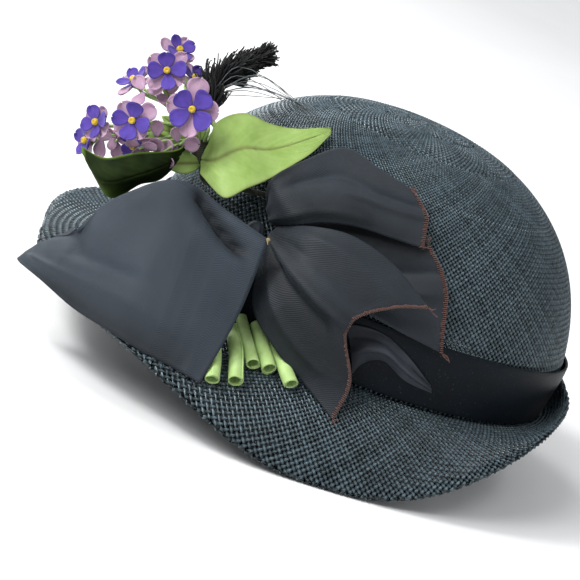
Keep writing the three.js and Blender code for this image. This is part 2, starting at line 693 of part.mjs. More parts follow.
const hat = new THREE.Group();
hat.add(makeCrown(), makeBrim(), makeBand());
hat.add(sheet('band_fold', satin, throughNet(bandFoldNet, 6, 4, onLayer(0)), ribbonWall));
hat.add(makeBowLoop(), makeBowKnot());
hat.add(sheet('second_tail', ribbon, throughNet(secondTailNet, 7, 4, onLayer(0)), ribbonWall));
hat.add(sheet('upper_tail', ribbon, throughNet(upperTailNet, 8, 4, onLayer(1)), ribbonWall));
hat.add(sheet('middle_tail', ribbon, throughNet(middleTailNet, 7, 8, middleTailLift), ribbonWall));
hat.add(sheet('pale_leaf', paleLeaf, throughNet(paleLeafNet, 8, 4, onLayer(2)), leafWall));
hat.add(sheet('dark_leaf', darkLeaf, throughNet(darkLeafNet, 7, 4, onLayer(0)), leafWall));
hat.add(makeBinding(), makeWires(), makePlume());
violetRows.forEach((row, k) => hat.add(...makeViolet(row, k + 1)));
cutStemRows.forEach((row, k) => hat.add(makeCutStem(row, k + 1)));

// The origin is the middle of the hat's box, at the height that the rim rests on
hat.updateMatrixWorld(true);
const box = new THREE.Box3().setFromObject(hat, true);
hat.position.set(-(box.min.x + box.max.x) / 2, -(box.min.y + box.max.y) / 2, -box.min.z);

export default hat;
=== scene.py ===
"""Builds a woven straw cloche hat with a satin band, a ribbon bow, cloth violets and a plume."""

import logging
import math
from dataclasses import dataclass, field
from enum import Enum
from typing import Callable, Sequence

import bpy
import numpy as np
from mathutils import Matrix, Vector

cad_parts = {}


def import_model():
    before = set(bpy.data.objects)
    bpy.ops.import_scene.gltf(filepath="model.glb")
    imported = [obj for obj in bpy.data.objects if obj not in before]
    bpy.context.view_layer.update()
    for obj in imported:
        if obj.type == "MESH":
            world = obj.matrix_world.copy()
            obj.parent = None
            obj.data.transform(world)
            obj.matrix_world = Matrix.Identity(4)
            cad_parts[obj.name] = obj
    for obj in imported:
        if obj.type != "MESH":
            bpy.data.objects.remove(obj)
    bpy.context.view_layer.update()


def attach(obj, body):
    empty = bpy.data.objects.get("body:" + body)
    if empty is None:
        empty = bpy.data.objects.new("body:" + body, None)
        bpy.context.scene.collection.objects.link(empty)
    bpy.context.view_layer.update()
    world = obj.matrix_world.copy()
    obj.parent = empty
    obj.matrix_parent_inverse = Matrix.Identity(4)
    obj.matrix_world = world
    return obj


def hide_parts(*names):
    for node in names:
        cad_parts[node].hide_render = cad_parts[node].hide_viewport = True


LOG = logging.getLogger("hat")
MM = 0.001
# Where the middle of the crown's join lies in the row frame, in millimetres
HAT_PLACE = np.array([0.0, 22.172, 34.657])
UP = np.array([0.0, 0.0, 1.0])


class Slot(Enum):
    """The finish slots of the hat."""

    STRAW = "straw"
    SATIN = "satin"
    RIBBON = "ribbon"
    PALE_LEAF = "pale_leaf"
    DARK_LEAF = "dark_leaf"
    WIRE = "wire"
    FEATHER = "feather"
    STEM = "stem"
    MAUVE = "mauve"
    VIOLET = "violet"
    BEAD = "bead"


class Held(Enum):
    """The ways in which a sheet of the hat is held."""

    LAID = "laid"
    FOLDED = "folded"
    STRETCHED = "stretched"


Array = np.ndarray
Table = Sequence[Sequence[Sequence[float]]]
Triple = tuple[float, float, float]
Material = bpy.types.Material
Piece = bpy.types.Object
Socket = bpy.types.NodeSocket


def ease(t: Array) -> Array:
    """A smooth step with level ends."""
    c = np.clip(t, 0.0, 1.0)
    return c * c * c * (10 - 15 * c + 6 * c * c)


def unit(vectors: Array) -> Array:
    """The vectors at length one."""
    return vectors / np.maximum(np.linalg.norm(vectors, axis=-1, keepdims=True), 1e-9)


def arc_length(points: Array, axis: int) -> Array:
    """How far each point lies from the first one along an axis of a grid."""
    steps = np.linalg.norm(np.diff(points, axis=axis), axis=-1).cumsum(axis)
    return np.concatenate([np.zeros_like(np.take(steps, [0], axis)), steps], axis=axis)


def share_grid(rows: int, columns: int, low: float = 0.0) -> tuple[Array, Array]:
    """The shares along and across a grid, those across from a lowest one to 1."""
    return np.meshgrid(np.linspace(0, 1, rows), np.linspace(low, 1, columns), indexing="ij")


def ring_points(r: Array, angle: Array, z: Array) -> Array:
    """Points round the hat from their radii, angles from the front and heights."""
    return np.stack([r * np.sin(angle), -r * np.cos(angle), z], axis=-1)


def spline(points: Array, shares: Array) -> Array:
    """Points on the centripetal curve through rows of points.

    Args:
        points: The points, of shape (n, ..., 3).
        shares: Where to read the curve, from 0 to 1, each stretch counted alike.

    Returns:
        The curve's points, of shape (len(shares), ..., 3).
    """
    count = len(points)
    padded = np.concatenate([2 * points[:1] - points[1:2], points, 2 * points[-1:] - points[-2:-1]])
    place = np.asarray(shares, float) * (count - 1)
    first = np.minimum(np.floor(place).astype(int), count - 2)
    t = (place - first).reshape(-1, *([1] * (points.ndim - 1)))
    p0, p1, p2, p3 = (padded[first + k] for k in range(4))

    def stride(a: Array, b: Array) -> Array:
        """The centripetal distance between two rows of points."""
        return np.sum((b - a) ** 2, axis=-1, keepdims=True) ** 0.25

    d1 = stride(p1, p2)
    d1 = np.where(d1 < 1e-4, 1.0, d1)
    d0, d2 = stride(p0, p1), stride(p2, p3)
    d0, d2 = np.where(d0 < 1e-4, d1, d0), np.where(d2 < 1e-4, d1, d2)
    t1 = ((p1 - p0) / d0 - (p2 - p0) / (d0 + d1) + (p2 - p1) / d1) * d1
    t2 = ((p2 - p1) / d1 - (p3 - p1) / (d1 + d2) + (p3 - p2) / d2) * d1
    bend = -3 * p1 + 3 * p2 - 2 * t1 - t2
    twist = 2 * p1 - 2 * p2 + t1 + t2
    return p1 + t1 * t + bend * t * t + twist * t * t * t


@dataclass(frozen=True)
class HatForm:
    """The straw's own shape, in millimetres from the middle of the join of crown and brim.

    Attributes:
        gap: The air between pieces that only touch.
        slack: How far the cloth lies looser than that.
        straw_wall: The straw's thickness.
        half_length: Half the crown's length in plan; half_width and height are its other sizes.
        squareness: The power of the crown's section, 2 for an ellipse.
        lean: How far the crown's top lies off the middle, towards the back.
        waist_share: How much the crown draws in at the join, fading out at waist_height.
        collar_height: How far the brim's collar stands up inside the crown.
        collar_turn: How far the brim drops as it leaves the collar.
        brim_drop: How far the lowest stretch of the rim lies under the join, at low_angle degrees.
        front_rise: How far the rim rises towards the front within front_span degrees; the same for the back.
        widths: The brim's widths at the front, front quarter, side, back quarter and back.
        shoulders: Where the brim bends down there, as shares of its width.
        hem_width: How far the hem is folded under, with hem_wall as its thickness.
        band_low: The height of the band's lower edge, with its own height and thickness.
        band_flare: How far the band stands off at the back, where its edge dips by band_dip.
    """

    gap: float = 0.3
    slack: float = 0.1
    straw_wall: float = 1.6
    half_length: float = 101.0
    half_width: float = 84.0
    height: float = 102.0
    squareness: float = 2.34
    lean: float = -1.4
    waist_share: float = 0.03
    waist_height: float = 28.0
    collar_height: float = 8.0
    collar_turn: float = 1.4
    brim_drop: float = 34.0
    front_rise: float = 26.5
    back_rise: float = 48.0
    front_span: float = 52.0
    back_span: float = 76.0
    low_angle: float = 90.0
    widths: tuple[float, ...] = (45.0, 64.5, 39.0, 26.0, 6.0)
    shoulders: tuple[float, ...] = (0.5, 0.5, 0.5, 0.65, 0.9)
    hem_width: float = 6.0
    hem_wall: float = 2.4
    band_low: float = 1.2
    band_height: float = 28.5
    band_wall: float = 1.2
    band_flare: float = 1.0
    band_dip: float = 4.0

    def around(self, stations: Sequence[float], angle: Array) -> Array:
        """A value that runs smoothly from the front to the back through five stations.

        Args:
            stations: The value at the front, front quarter, side, back quarter and back.
            angle: Angles from the front, in radians.

        Returns:
            The value at each angle, alike on both sides.
        """
        s = np.asarray(stations, float)
        turn = np.abs(np.arctan2(np.sin(angle), np.cos(angle)))
        place = turn / math.pi * (len(s) - 1)
        i = np.minimum(np.floor(place).astype(int), len(s) - 2)
        t = place - i
        before, after = s[np.abs(i - 1)], np.where(i + 2 < len(s), s[np.minimum(i + 2, len(s) - 1)], s[-2])
        bend = 2 * before - 5 * s[i] + 4 * s[i + 1] - after
        twist = 3 * s[i] - 3 * s[i + 1] + after - before
        return 0.5 * (2 * s[i] + (s[i + 1] - before) * t + bend * t * t + twist * t * t * t)

    def plan_radius(self, angle: Array) -> Array:
        """The crown's plan is an ellipse: its radius at an angle from the front."""
        return 1 / np.hypot(np.sin(angle) / self.half_width, np.cos(angle) / self.half_length)

    def waist(self, z: Array) -> Array:
        """The share of its plan that the crown keeps at a height above the join."""
        t = np.clip(z / self.waist_height, 0, 1)
        return 1 - self.waist_share * (1 - t * t * (3 - 2 * t))

    def crown(self, angle: Array, climb: Array) -> tuple[Array, Array]:
        """The crown's outer wall.

        Args:
            angle: Angles from the front.
            climb: From 0 at the join to 1 at the top.

        Returns:
            The radius and the height.
        """
        w = climb * math.pi / 2
        z = self.height * np.sin(w) ** (2 / self.squareness)
        inward = np.maximum(np.cos(w), 0) ** (2 / self.squareness)
        return self.plan_radius(angle) * inward * self.waist(z), z

    def crown_radius(self, angle: Array, z: Array) -> Array:
        """The crown's outer radius at a height above the join."""
        w = np.arcsin(np.clip(z / self.height, 0, 1) ** (self.squareness / 2))
        return self.plan_radius(angle) * np.cos(w) ** (2 / self.squareness) * self.waist(z)

    def rim(self, angle: Array) -> tuple[Array, Array]:
        """The middle of the brim's outer edge.

        Args:
            angle: Angles from the front, in radians.

        Returns:
            The radius and the height at each.
        """
        turn = np.degrees(np.abs(np.arctan2(np.sin(angle), np.cos(angle))))
        past = turn - self.low_angle
        rise = np.where(
            past < 0,
            self.front_rise * ease(-past / self.front_span),
            self.back_rise * ease(past / self.back_span),
        )
        foot = self.crown_radius(angle, np.zeros_like(turn))
        return foot + self.around(self.widths, angle), rise - self.brim_drop

    def brim(self, angle: Array, share: Array) -> tuple[Array, Array]:
        """The middle of the brim's wall.

        Args:
            angle: Angles from the front.
            share: From 0 at the collar's foot to 1 at the rim.

        Returns:
            The radius and the height at each.
        """
        join = self.crown_radius(angle, np.zeros_like(angle))
        shoulder = join + self.around(self.shoulders, angle) * self.around(self.widths, angle)
        rim_r, rim_z = self.rim(angle)
        a, b, c = (1 - share) ** 2, 2 * share * (1 - share), share * share
        r = a * (join - 1.5 * self.straw_wall - self.gap) + b * shoulder + c * rim_r
        return r, -(a + b) * self.collar_turn + c * rim_z

    def brim_top(self, angle: Array, r: Array) -> Array:
        """The height of the brim's upper face at a radius.

        Args:
            angle: Angles from the front.
            r: The radius at each.

        Returns:
            The height at each.
        """
        low, high = np.zeros_like(r), np.ones_like(r)
        for _ in range(24):
            middle = (low + high) / 2
            inside = self.brim(angle, middle)[0] < r
            low, high = np.where(inside, middle, low), np.where(inside, high, middle)
        return self.brim(angle, high)[1] + self.hem_wall / 2

    def towards_back(self, angle: Array) -> Array:
        """How far an angle lies towards the back, from 0 at the sides to 1."""
        return np.maximum(-np.cos(angle), 0) ** 4

    def band_top(self, angle: Array) -> Array:
        """The height of the band's upper edge, which dips at the back."""
        return self.band_low + self.band_height - self.band_dip * self.towards_back(angle)

    def band_inner(self, angle: Array, z: Array) -> Array:
        """The band's inner face, which stands off the crown at its upper edge at the back.

        Args:
            angle: Angles from the front.
            z: The height above the join at each.

        Returns:
            The radius at each.
        """
        up = np.clip((z - self.band_low) / self.band_height, 0, 1)
        flare = self.band_flare * self.towards_back(angle) * up * up
        return self.crown_radius(angle, z) + self.gap + self.slack + flare

    def outside(self, angle: Array, z: Array) -> Array:
        """The outside of the crown, with the band where it lies.

        Args:
            angle: Angles from the front.
            z: The height above the join at each.

        Returns:
            The radius at each.
        """
        wall = self.crown_radius(angle, np.maximum(z, 0))
        top = self.band_top(angle)
        band = self.band_inner(angle, np.clip(z, self.band_low, top)) + self.band_wall
        return np.where(z > top + 1, wall, np.maximum(wall, band))

    def rest_on(self, points: Array, lift: float | Array) -> Array:
        """Points that would sink into the hat lie on it instead.

        Args:
            points: Points in the hat's own frame, of shape (..., 3).
            lift: How far they stay off the surface, alike or each by itself.

        Returns:
            The points, moved outwards and up where they need it.
        """
        angle = np.arctan2(points[..., 0], -points[..., 1])
        r = np.hypot(points[..., 0], points[..., 1])
        r = np.maximum(r, self.outside(angle, points[..., 2]) + lift)
        over = r < self.rim(angle)[0] + self.hem_wall
        z = np.where(over, np.maximum(points[..., 2], self.brim_top(angle, r) + lift), points[..., 2])
        return ring_points(r, angle, z)

    def place(self, shares: Sequence[float]) -> Array:
        """A point from its shares of the crown's sizes: fore, rise and out."""
        fore, rise, out = np.moveaxis(np.asarray(shares, float), -1, 0)
        return np.stack([out * self.half_width, -fore * self.half_length, rise * self.height], axis=-1)


FORM = HatForm()


@dataclass(frozen=True)
class Net:
    """A smooth surface through a net of places.

    Attributes:
        rows: Lines of [fore, rise, out] that run the same way.
        lift: How far the sheet's middle stays off the hat, alike or for each step along or across.
    """

    rows: Table
    lift: float | Array

    def grid(self, along: int, across: int) -> Array:
        """The surface's points.

        Args:
            along: Steps along the lines.
            across: Steps from the first line to the last.

        Returns:
            Points of shape (along + 1, across + 1, 3).
        """
        lines = FORM.place(self.rows)
        run = spline(lines.transpose(1, 0, 2), np.linspace(0, 1, along + 1))
        cross = spline(run.transpose(1, 0, 2), np.linspace(0, 1, across + 1))
        return FORM.rest_on(cross.transpose(1, 0, 2), self.lift)


def layer(count: float | Array) -> float | Array:
    """How far the ribbons stay off the hat, one thickness further for each that lies under them."""
    return 0.9 + 1.4 * count


def grid_normals(grid: Array) -> Array:
    """The unit normals of a grid of points."""
    return unit(np.cross(np.gradient(grid, axis=0), np.gradient(grid, axis=1)))


def row_frame(points: Array) -> Array:
    """Points of the hat's own frame, in metres in the row frame."""
    return (np.asarray(points, float) + HAT_PLACE) * MM


@dataclass
class MeshData:
    """Corners and faces of a mesh being made, in millimetres in the hat's own frame."""

    corners: Array
    faces: list[tuple[int, ...]]
    uv: Array | None = None
    marks: dict[str, Array] = field(default_factory=dict)


def grid_mesh(grid: Array, marks: dict[str, Array] | None = None, ring: bool = False) -> MeshData:
    """A sheet of quads over a grid of points.

    Args:
        grid: Points of shape (rows, columns, 3).
        marks: Named values of shape (rows, columns), kept as attributes.
        ring: Whether the last row joins the first.

    Returns:
        The mesh, with a UV in metres along and across the sheet.
    """
    rows, columns = grid.shape[:2]
    run = arc_length(grid, 0).mean(1, keepdims=True)
    uv = np.stack([np.broadcast_to(run, (rows, columns)), arc_length(grid, 1)], axis=-1)
    faces = []
    for i in range(rows if ring else rows - 1):
        for j in range(columns - 1):
            a, b = i * columns + j, (i + 1) % rows * columns + j
            faces.append((a, b, b + 1, a + 1))
    kept = {name: values.reshape(-1) for name, values in (marks or {}).items()}
    return MeshData(grid.reshape(-1, 3), faces, uv.reshape(-1, 2) * MM, kept)


def joined(parts: Sequence[MeshData]) -> MeshData:
    """Several meshes as one.

    Args:
        parts: The meshes, with the same marks.

    Returns:
        One mesh with all their corners and faces.
    """
    faces, first = [], 0
    for part in parts:
        faces += [tuple(first + i for i in face) for face in part.faces]
        first += len(part.corners)
    corners, uv = np.concatenate([p.corners for p in parts]), np.concatenate([p.uv for p in parts])
    marks = {name: np.concatenate([p.marks[name] for p in parts]) for name in parts[0].marks}
    return MeshData(corners, faces, uv, marks)


def new_object(name: str, data: bpy.types.ID) -> Piece:
    """A new object of the scene.

    Args:
        name: Its name.
        data: Its mesh, lamp or camera.

    Returns:
        The object, linked to the scene.
    """
    made = bpy.data.objects.new(name, data)
    bpy.context.scene.collection.objects.link(made)
    return made


def add_piece(name: str, data: MeshData, material: Material) -> Piece:
    """Makes a piece of the model from its mesh.

    Args:
        name: The piece's name.
        data: Its mesh in the hat's own frame.
        material: Its finish.

    Returns:
        The object, at the origin, with its place in its mesh.
    """
    mesh = bpy.data.meshes.new(name)
    mesh.from_pydata(row_frame(data.corners).tolist(), [], data.faces)
    mesh.polygons.foreach_set("use_smooth", [True] * len(mesh.polygons))
    if data.uv is not None:
        loops = np.empty(len(mesh.loops), int)
        mesh.loops.foreach_get("vertex_index", loops)
        mesh.uv_layers.new(name="UVMap").data.foreach_set("uv", data.uv[loops].reshape(-1))
    for mark, values in data.marks.items():
        mesh.attributes.new(mark, "FLOAT", "POINT").data.foreach_set("value", values)
    mesh.materials.append(material)
    mesh.validate()
    return new_object(name, mesh)


def add_modifier(piece: Piece, kind: str, **settings: object) -> None:
    """Adds a modifier with its settings.

    Args:
        piece: The piece.
        kind: The modifier's type.
        settings: Its properties.
    """
    modifier = piece.modifiers.new(kind.title(), kind)
    for name, value in settings.items():
        setattr(modifier, name, value)


def made_plain(piece: Piece) -> Piece:
    """Turns a piece's evaluated shape to its plain mesh and drops the modifiers.

    Args:
        piece: The piece with its modifiers.

    Returns:
        The same piece.
    """
    bpy.context.view_layer.update()
    evaluated = piece.evaluated_get(bpy.context.evaluated_depsgraph_get())
    mesh = bpy.data.meshes.new_from_object(evaluated)
    piece.modifiers.clear()
    piece.data = mesh
    mesh.name = piece.name
    return piece


def thickened(name: str, data: MeshData, material: Material, wall: float) -> Piece:
    """Makes a piece of cloth from its middle surface.

    Args:
        name: The piece's name.
        data: Its middle surface.
        material: Its finish.
        wall: Its thickness, in millimetres.

    Returns:
        The piece as a plain mesh.
    """
    piece = add_piece(name, data, material)
    add_modifier(piece, "SOLIDIFY", thickness=wall * MM, offset=0.0)
    return made_plain(piece)


def finished(piece: Piece, slot: Slot, *nodes: str) -> None:
    """Lets a piece ride on the hat, logs its finish slot and hides the solids that it stands for.

    Args:
        piece: The piece.
        slot: Its finish slot.
        nodes: The solids, if it stands for any.
    """
    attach(piece, "root")
    LOG.info("%s: %d faces in %s", piece.name, len(piece.data.polygons), slot.value)
    if nodes:
        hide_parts(*nodes)


# The period of a wave texture at scale one, in metres
WAVE_PERIOD = 0.314


class TreePen:
    """Writes the nodes of one tree."""

    def __init__(self, tree: bpy.types.NodeTree) -> None:
        """Takes the tree to write in."""
        self.tree = tree

    def add(self, kind: str, inputs: dict[str, object] | None = None, **settings: object) -> bpy.types.Node:
        """Adds a node.

        Args:
            kind: The node's type.
            inputs: Its sockets' values, or the sockets that feed them.
            settings: The node's own properties.

        Returns:
            The node.
        """
        node = self.tree.nodes.new(kind)
        for name, value in settings.items():
            setattr(node, name, value)
        for name, value in (inputs or {}).items():
            self.feed(node, name, value)
        return node

    def feed(self, node: bpy.types.Node, name: str, value: object) -> None:
        """Sets or links one input, found by its name or its number.

        Args:
            node: The node.
            name: The input's name, or its number as text.
            value: Its value, or the socket that feeds it.
        """
        key = int(name) if name.isdigit() else name
        if isinstance(value, Socket):
            self.tree.links.new(value, node.inputs[key])
        else:
            node.inputs[key].default_value = value


class MaterialPen(TreePen):
    """Writes the node tree of one material."""

    def __init__(self, name: str) -> None:
        """Starts a material with a plain shader.

        Args:
            name: The material's name.
        """
        self.material = bpy.data.materials.new(name)
        self.material.use_nodes = True
        super().__init__(self.material.node_tree)
        self.shader = self.tree.nodes["Principled BSDF"]

    def shade(self, **inputs: object) -> None:
        """Sets or links inputs of the shader, with underscores for the spaces in their names."""
        for name, value in inputs.items():
            self.feed(self.shader, name.replace("_", " "), value)

    def mark(self, name: str) -> Socket:
        """A named value of the mesh."""
        return self.add("ShaderNodeAttribute", attribute_name=name).outputs["Fac"]

    def noise(self, scale: float, detail: float) -> Socket:
        """Noise on the object's own coordinates.

        Args:
            scale: How many spots a metre holds, or so.
            detail: How many finer layers it has.

        Returns:
            The value's socket.
        """
        where = self.add("ShaderNodeTexCoord").outputs["Object"]
        inputs = {"Vector": where, "Scale": scale, "Detail": detail}
        return self.add("ShaderNodeTexNoise", inputs).outputs["Fac"]

    def ramp(self, value: object, stops: Sequence[tuple[float, Sequence[float]]]) -> Socket:
        """Colours laid along a value.

        Args:
            value: The value's socket.
            stops: Where each colour stands, and the colour as linear red, green and blue.

        Returns:
            The colour's socket.
        """
        node = self.add("ShaderNodeValToRGB", {"Fac": value})
        while len(node.color_ramp.elements) < len(stops):
            node.color_ramp.elements.new(0.5)
        for element, (position, colour) in zip(node.color_ramp.elements, stops):
            element.position = position
            element.color = (*colour, 1)
        return node.outputs["Color"]

    def math(self, operation: str, *values: object) -> Socket:
        """A sum, product or the like of values or sockets."""
        inputs = {str(k): value for k, value in enumerate(values)}
        return self.add("ShaderNodeMath", inputs, operation=operation).outputs[0]

    def weighed(self, first: object, share: float, second: object, other: float) -> Socket:
        """Two values added, each by its share."""
        return self.math("ADD", self.math("MULTIPLY", first, share), self.math("MULTIPLY", second, other))

    def mix(self, share: object, first: object, second: object) -> Socket:
        """Mixes two colours.

        Args:
            share: The second colour's share, or its socket.
            first: The first colour, or its socket.
            second: The second one.

        Returns:
            The colour's socket.
        """
        node = self.add("ShaderNodeMix", {"0": share}, data_type="RGBA")
        for key, value in ((6, first), (7, second)):
            self.feed(node, str(key), value if isinstance(value, Socket) else (*value, 1))
        return node.outputs[2]

    def bump(self, height: object, depth: float, strength: float, under: object = None) -> Socket:
        """A bump of a height field.

        Args:
            height: The height's socket.
            depth: Its depth, in metres.
            strength: How strong it is, from 0 to 1.
            under: The normal that it is laid on.

        Returns:
            The normal's socket.
        """
        inputs = {"Height": height, "Distance": depth, "Strength": strength}
        if under is not None:
            inputs["Normal"] = under
        return self.add("ShaderNodeBump", inputs).outputs["Normal"]

    def ribs(self, pitch: float, lean: float, lines: float = 0.0) -> Socket:
        """Fine ribs laid over the piece's UV, which is in metres.

        Args:
            pitch: The distance from rib to rib, in metres.
            lean: How the ribs lie, in degrees from the sheet's width.
            lines: How far the ribs wander.

        Returns:
            The height's socket.
        """
        uv = self.add("ShaderNodeUVMap").outputs["UV"]
        turned = self.add("ShaderNodeMapping", {"Vector": uv, "Rotation": (0, 0, math.radians(lean))})
        wave = self.add(
            "ShaderNodeTexWave",
            {
                "Vector": turned.outputs["Vector"],
                "Scale": WAVE_PERIOD / pitch,
                "Distortion": lines,
                "Detail": 2.0,
                "Detail Scale": 2.0,
            },
        )
        return wave.outputs["Fac"]


@dataclass(frozen=True)
class StrawFinish:
    """Glossy blue-black straw, each strand a little different, with painted highlights on the crests and
    painted shade where strands dip under.

    Attributes:
        dark: The colour of the darkest strands, and of the painted shade where a strand dips under another.
        light: The colour of the lightest, and of the painted highlight on the strands' crests.
    """

    dark: Triple = (0.0012, 0.0018, 0.0022)
    light: Triple = (0.1, 0.142, 0.168)

    def material(self) -> Material:
        """Builds the material, with a grain along the fibres and dulled spots.

        Returns:
            The material.
        """
        pen = MaterialPen("black_straw")
        patch = pen.noise(420.0, 4.0)
        # The tone carries each strand's own random tone together with painted light: highlights on its crests
        # and shade where it dips under.
        value = pen.weighed(pen.mark("tone"), 0.8, patch, 0.3)
        pen.shade(
            Base_Color=pen.ramp(value, [(0.5, self.dark), (0.95, self.light)]),
            Roughness=pen.ramp(patch, [(0.3, (0.22,) * 3), (0.75, (0.4,) * 3)]),
            Normal=pen.bump(pen.noise(2600.0, 2.0), 0.00006, 0.7),
            Specular_IOR_Level=0.6,
            Specular_Tint=(0.8, 0.96, 1.0, 1),
        )
        return pen.material


@dataclass(frozen=True)
class SatinFinish:
    """The hat band's near-black satin, with a close weave and specks of dust.

    Attributes:
        name: The material's name.
        colour: The cloth's colour.
        dust: The specks' colour.
        thread: The distance from thread to thread, in metres.
    """

    name: str = "band_satin"
    colour: Triple = (0.0012, 0.003, 0.0052)
    dust: Triple = (0.05, 0.06, 0.07)
    thread: float = 0.00042

    def material(self) -> Material:
        """Builds the material.

        Returns:
            The material.
        """
        pen = MaterialPen(self.name)
        specks = pen.ramp(pen.noise(1500.0, 1.0), [(0.7, (0, 0, 0)), (0.76, (1, 1, 1))])
        patch = pen.noise(60.0, 4.0)
        cloth = pen.ramp(patch, [(0.3, self.colour), (0.75, tuple(2.1 * c for c in self.colour))])
        weave = pen.math("ADD", pen.ribs(self.thread, 0.0), pen.ribs(self.thread, 90.0))
        wrinkles = pen.bump(pen.noise(90.0, 3.0), 0.0006, 0.35)
        pen.shade(
            Base_Color=pen.mix(specks, cloth, self.dust),
            Roughness=pen.ramp(patch, [(0.3, (0.4,) * 3), (0.7, (0.52,) * 3)]),
            Normal=pen.bump(weave, 0.00005, 0.6, wrinkles),
            Specular_IOR_Level=0.14,
        )
        return pen.material


@dataclass(frozen=True)
class FailleFinish:
    """The bow's charcoal faille: fine ribs, with painted shade in its folds and along some edges, and painted
    highlights along its ridges.

    Attributes:
        dark: The colour of the painted shade deep in the folds, and of the ribs' grooves.
        light: The colour of the painted highlight along the ridges, and of the cloth's light flecks.
        rib: The distance from rib to rib, in metres.
        lean: How the ribs lie across the ribbon, in degrees.
    """

    dark: Triple = (0.003, 0.0045, 0.006)
    light: Triple = (0.058, 0.076, 0.1)
    rib: float = 0.00066
    lean: float = 38.0

    def material(self) -> Material:
        """Builds the material.

        Returns:
            The material.
        """
        pen = MaterialPen("bow_faille")
        patch = pen.noise(70.0, 5.0)
        rib = pen.ribs(self.rib, self.lean, 0.6)
        # The mesh's tone is painted light: shade in the folds and under other layers, highlights on the
        # ridges.
        value = pen.weighed(pen.mark("tone"), 0.85, patch, 0.22)
        cloth = pen.ramp(value, [(0.1, self.dark), (1.0, self.light)])
        ribbed = pen.mix(pen.math("MULTIPLY", rib, 0.4), cloth, self.dark)
        crumple = pen.bump(pen.noise(130.0, 4.0), 0.0011, 0.4)
        pen.shade(
            Base_Color=pen.mix(pen.math("MULTIPLY", pen.noise(2200.0, 2.0), 0.12), ribbed, self.light),
            Roughness=0.62,
            Normal=pen.bump(rib, 0.0001, 0.8, crumple),
            Specular_IOR_Level=0.3,
            Sheen_Weight=0.08,
            Sheen_Roughness=0.4,
            Sheen_Tint=(0.62, 0.72, 0.85, 1),
        )
        return pen.material


def strand_tree(material: Material) -> bpy.types.NodeTree:
    """Builds the tree that makes flat strands along drawn lines.

    The lines carry the way that a strand's flat side faces, "lie", its breadth and its tone.

    Args:
        material: The strands' finish.

    Returns:
        The tree, with the thickness of a strand of breadth one and its number of sides as inputs.
    """
    tree = bpy.data.node_groups.new("strands", "GeometryNodeTree")
    for name, kind in (("Geometry", "Geometry"), ("Thickness", "Float"), ("Sides", "Int")):
        tree.interface.new_socket(name, in_out="INPUT", socket_type=f"NodeSocket{kind}")
    tree.interface.new_socket("Geometry", in_out="OUTPUT", socket_type="NodeSocketGeometry")
    pen = TreePen(tree)
    given = pen.add("NodeGroupInput").outputs
    lie = pen.add("GeometryNodeInputNamedAttribute", {"Name": "lie"}, data_type="FLOAT_VECTOR")
    breadth = pen.add("GeometryNodeInputNamedAttribute", {"Name": "breadth"}, data_type="FLOAT")
    curve = pen.add("GeometryNodeMeshToCurve", {"Mesh": given["Geometry"]})
    facing = pen.add(
        "GeometryNodeSetCurveNormal",
        {"Curve": curve.outputs["Curve"], "Normal": lie.outputs["Attribute"]},
        mode="FREE",
    )
    ring = pen.add("GeometryNodeCurvePrimitiveCircle", {"Radius": 0.5, "Resolution": given["Sides"]})
    size = pen.add("ShaderNodeCombineXYZ", {"X": given["Thickness"], "Y": 1.0, "Z": 1.0})
    flat = pen.add(
        "GeometryNodeTransform",
        {"Geometry": ring.outputs["Curve"], "Scale": size.outputs["Vector"]},
    )
    sweep = pen.add(
        "GeometryNodeCurveToMesh",
        {
            "Curve": facing.outputs["Curve"],
            "Profile Curve": flat.outputs["Geometry"],
            "Scale": breadth.outputs["Attribute"],
            "Fill Caps": True,
        },
    )
    smooth = pen.add("GeometryNodeSetShadeSmooth", {"Geometry": sweep.outputs["Mesh"]})
    real = pen.add("GeometryNodeRealizeInstances", {"Geometry": smooth.outputs["Geometry"]})
    dress = pen.add("GeometryNodeSetMaterial", {"Geometry": real.outputs["Geometry"], "Material": material})
    pen.add("NodeGroupOutput", {"Geometry": dress.outputs["Geometry"]})
    return tree


@dataclass
class Strand:
    """One drawn line that a strand follows, in millimetres in the hat's own frame."""

    points: Array
    lie: Array
    breadth: Array
    tone: float | Array


def strand_piece(
    name: str,
    strands: Sequence[Strand],
    material: Material,
    thickness: float,
    sides: int,
) -> Piece:
    """Makes one piece of many strands through Geometry Nodes.

    Args:
        name: The piece's name.
        strands: The lines that the strands follow.
        material: Their finish.
        thickness: A strand's thickness as a share of its breadth.
        sides: The sides of a strand's section.

    Returns:
        The piece as a plain mesh.
    """
    corners = row_frame(np.concatenate([s.points for s in strands]))
    edges, first = [], 0
    for s in strands:
        edges += [(first + k, first + k + 1) for k in range(len(s.points) - 1)]
        first += len(s.points)
    mesh = bpy.data.meshes.new(name)
    mesh.from_pydata(corners.tolist(), edges, [])
    lie = np.concatenate([s.lie for s in strands])
    mesh.attributes.new("lie", "FLOAT_VECTOR", "POINT").data.foreach_set("vector", lie.reshape(-1))
    breadth = np.concatenate([s.breadth for s in strands]) * MM
    mesh.attributes.new("breadth", "FLOAT", "POINT").data.foreach_set("value", breadth)
    tone = np.concatenate([np.broadcast_to(s.tone, (len(s.points),)) for s in strands])
    mesh.attributes.new("tone", "FLOAT", "POINT").data.foreach_set("value", tone)
    piece = new_object(name, mesh)
    tree = strand_tree(material)
    modifier = piece.modifiers.new("Strands", "NODES")
    modifier.node_group = tree
    sockets = {item.name: item.identifier for item in tree.interface.items_tree if item.in_out == "INPUT"}
    modifier[sockets["Thickness"]] = thickness
    modifier[sockets["Sides"]] = sides
    made_plain(piece)
    for spent in ("lie", "breadth"):
        if spent in piece.data.attributes:
            piece.data.attributes.remove(piece.data.attributes[spent])
    return piece


# Gives the points, the normals and the radii of crossings from their angle numbers and rows
Lattice = Callable[[Array, Array], tuple[Array, Array, Array]]
SHORTEST_STRAND = 3


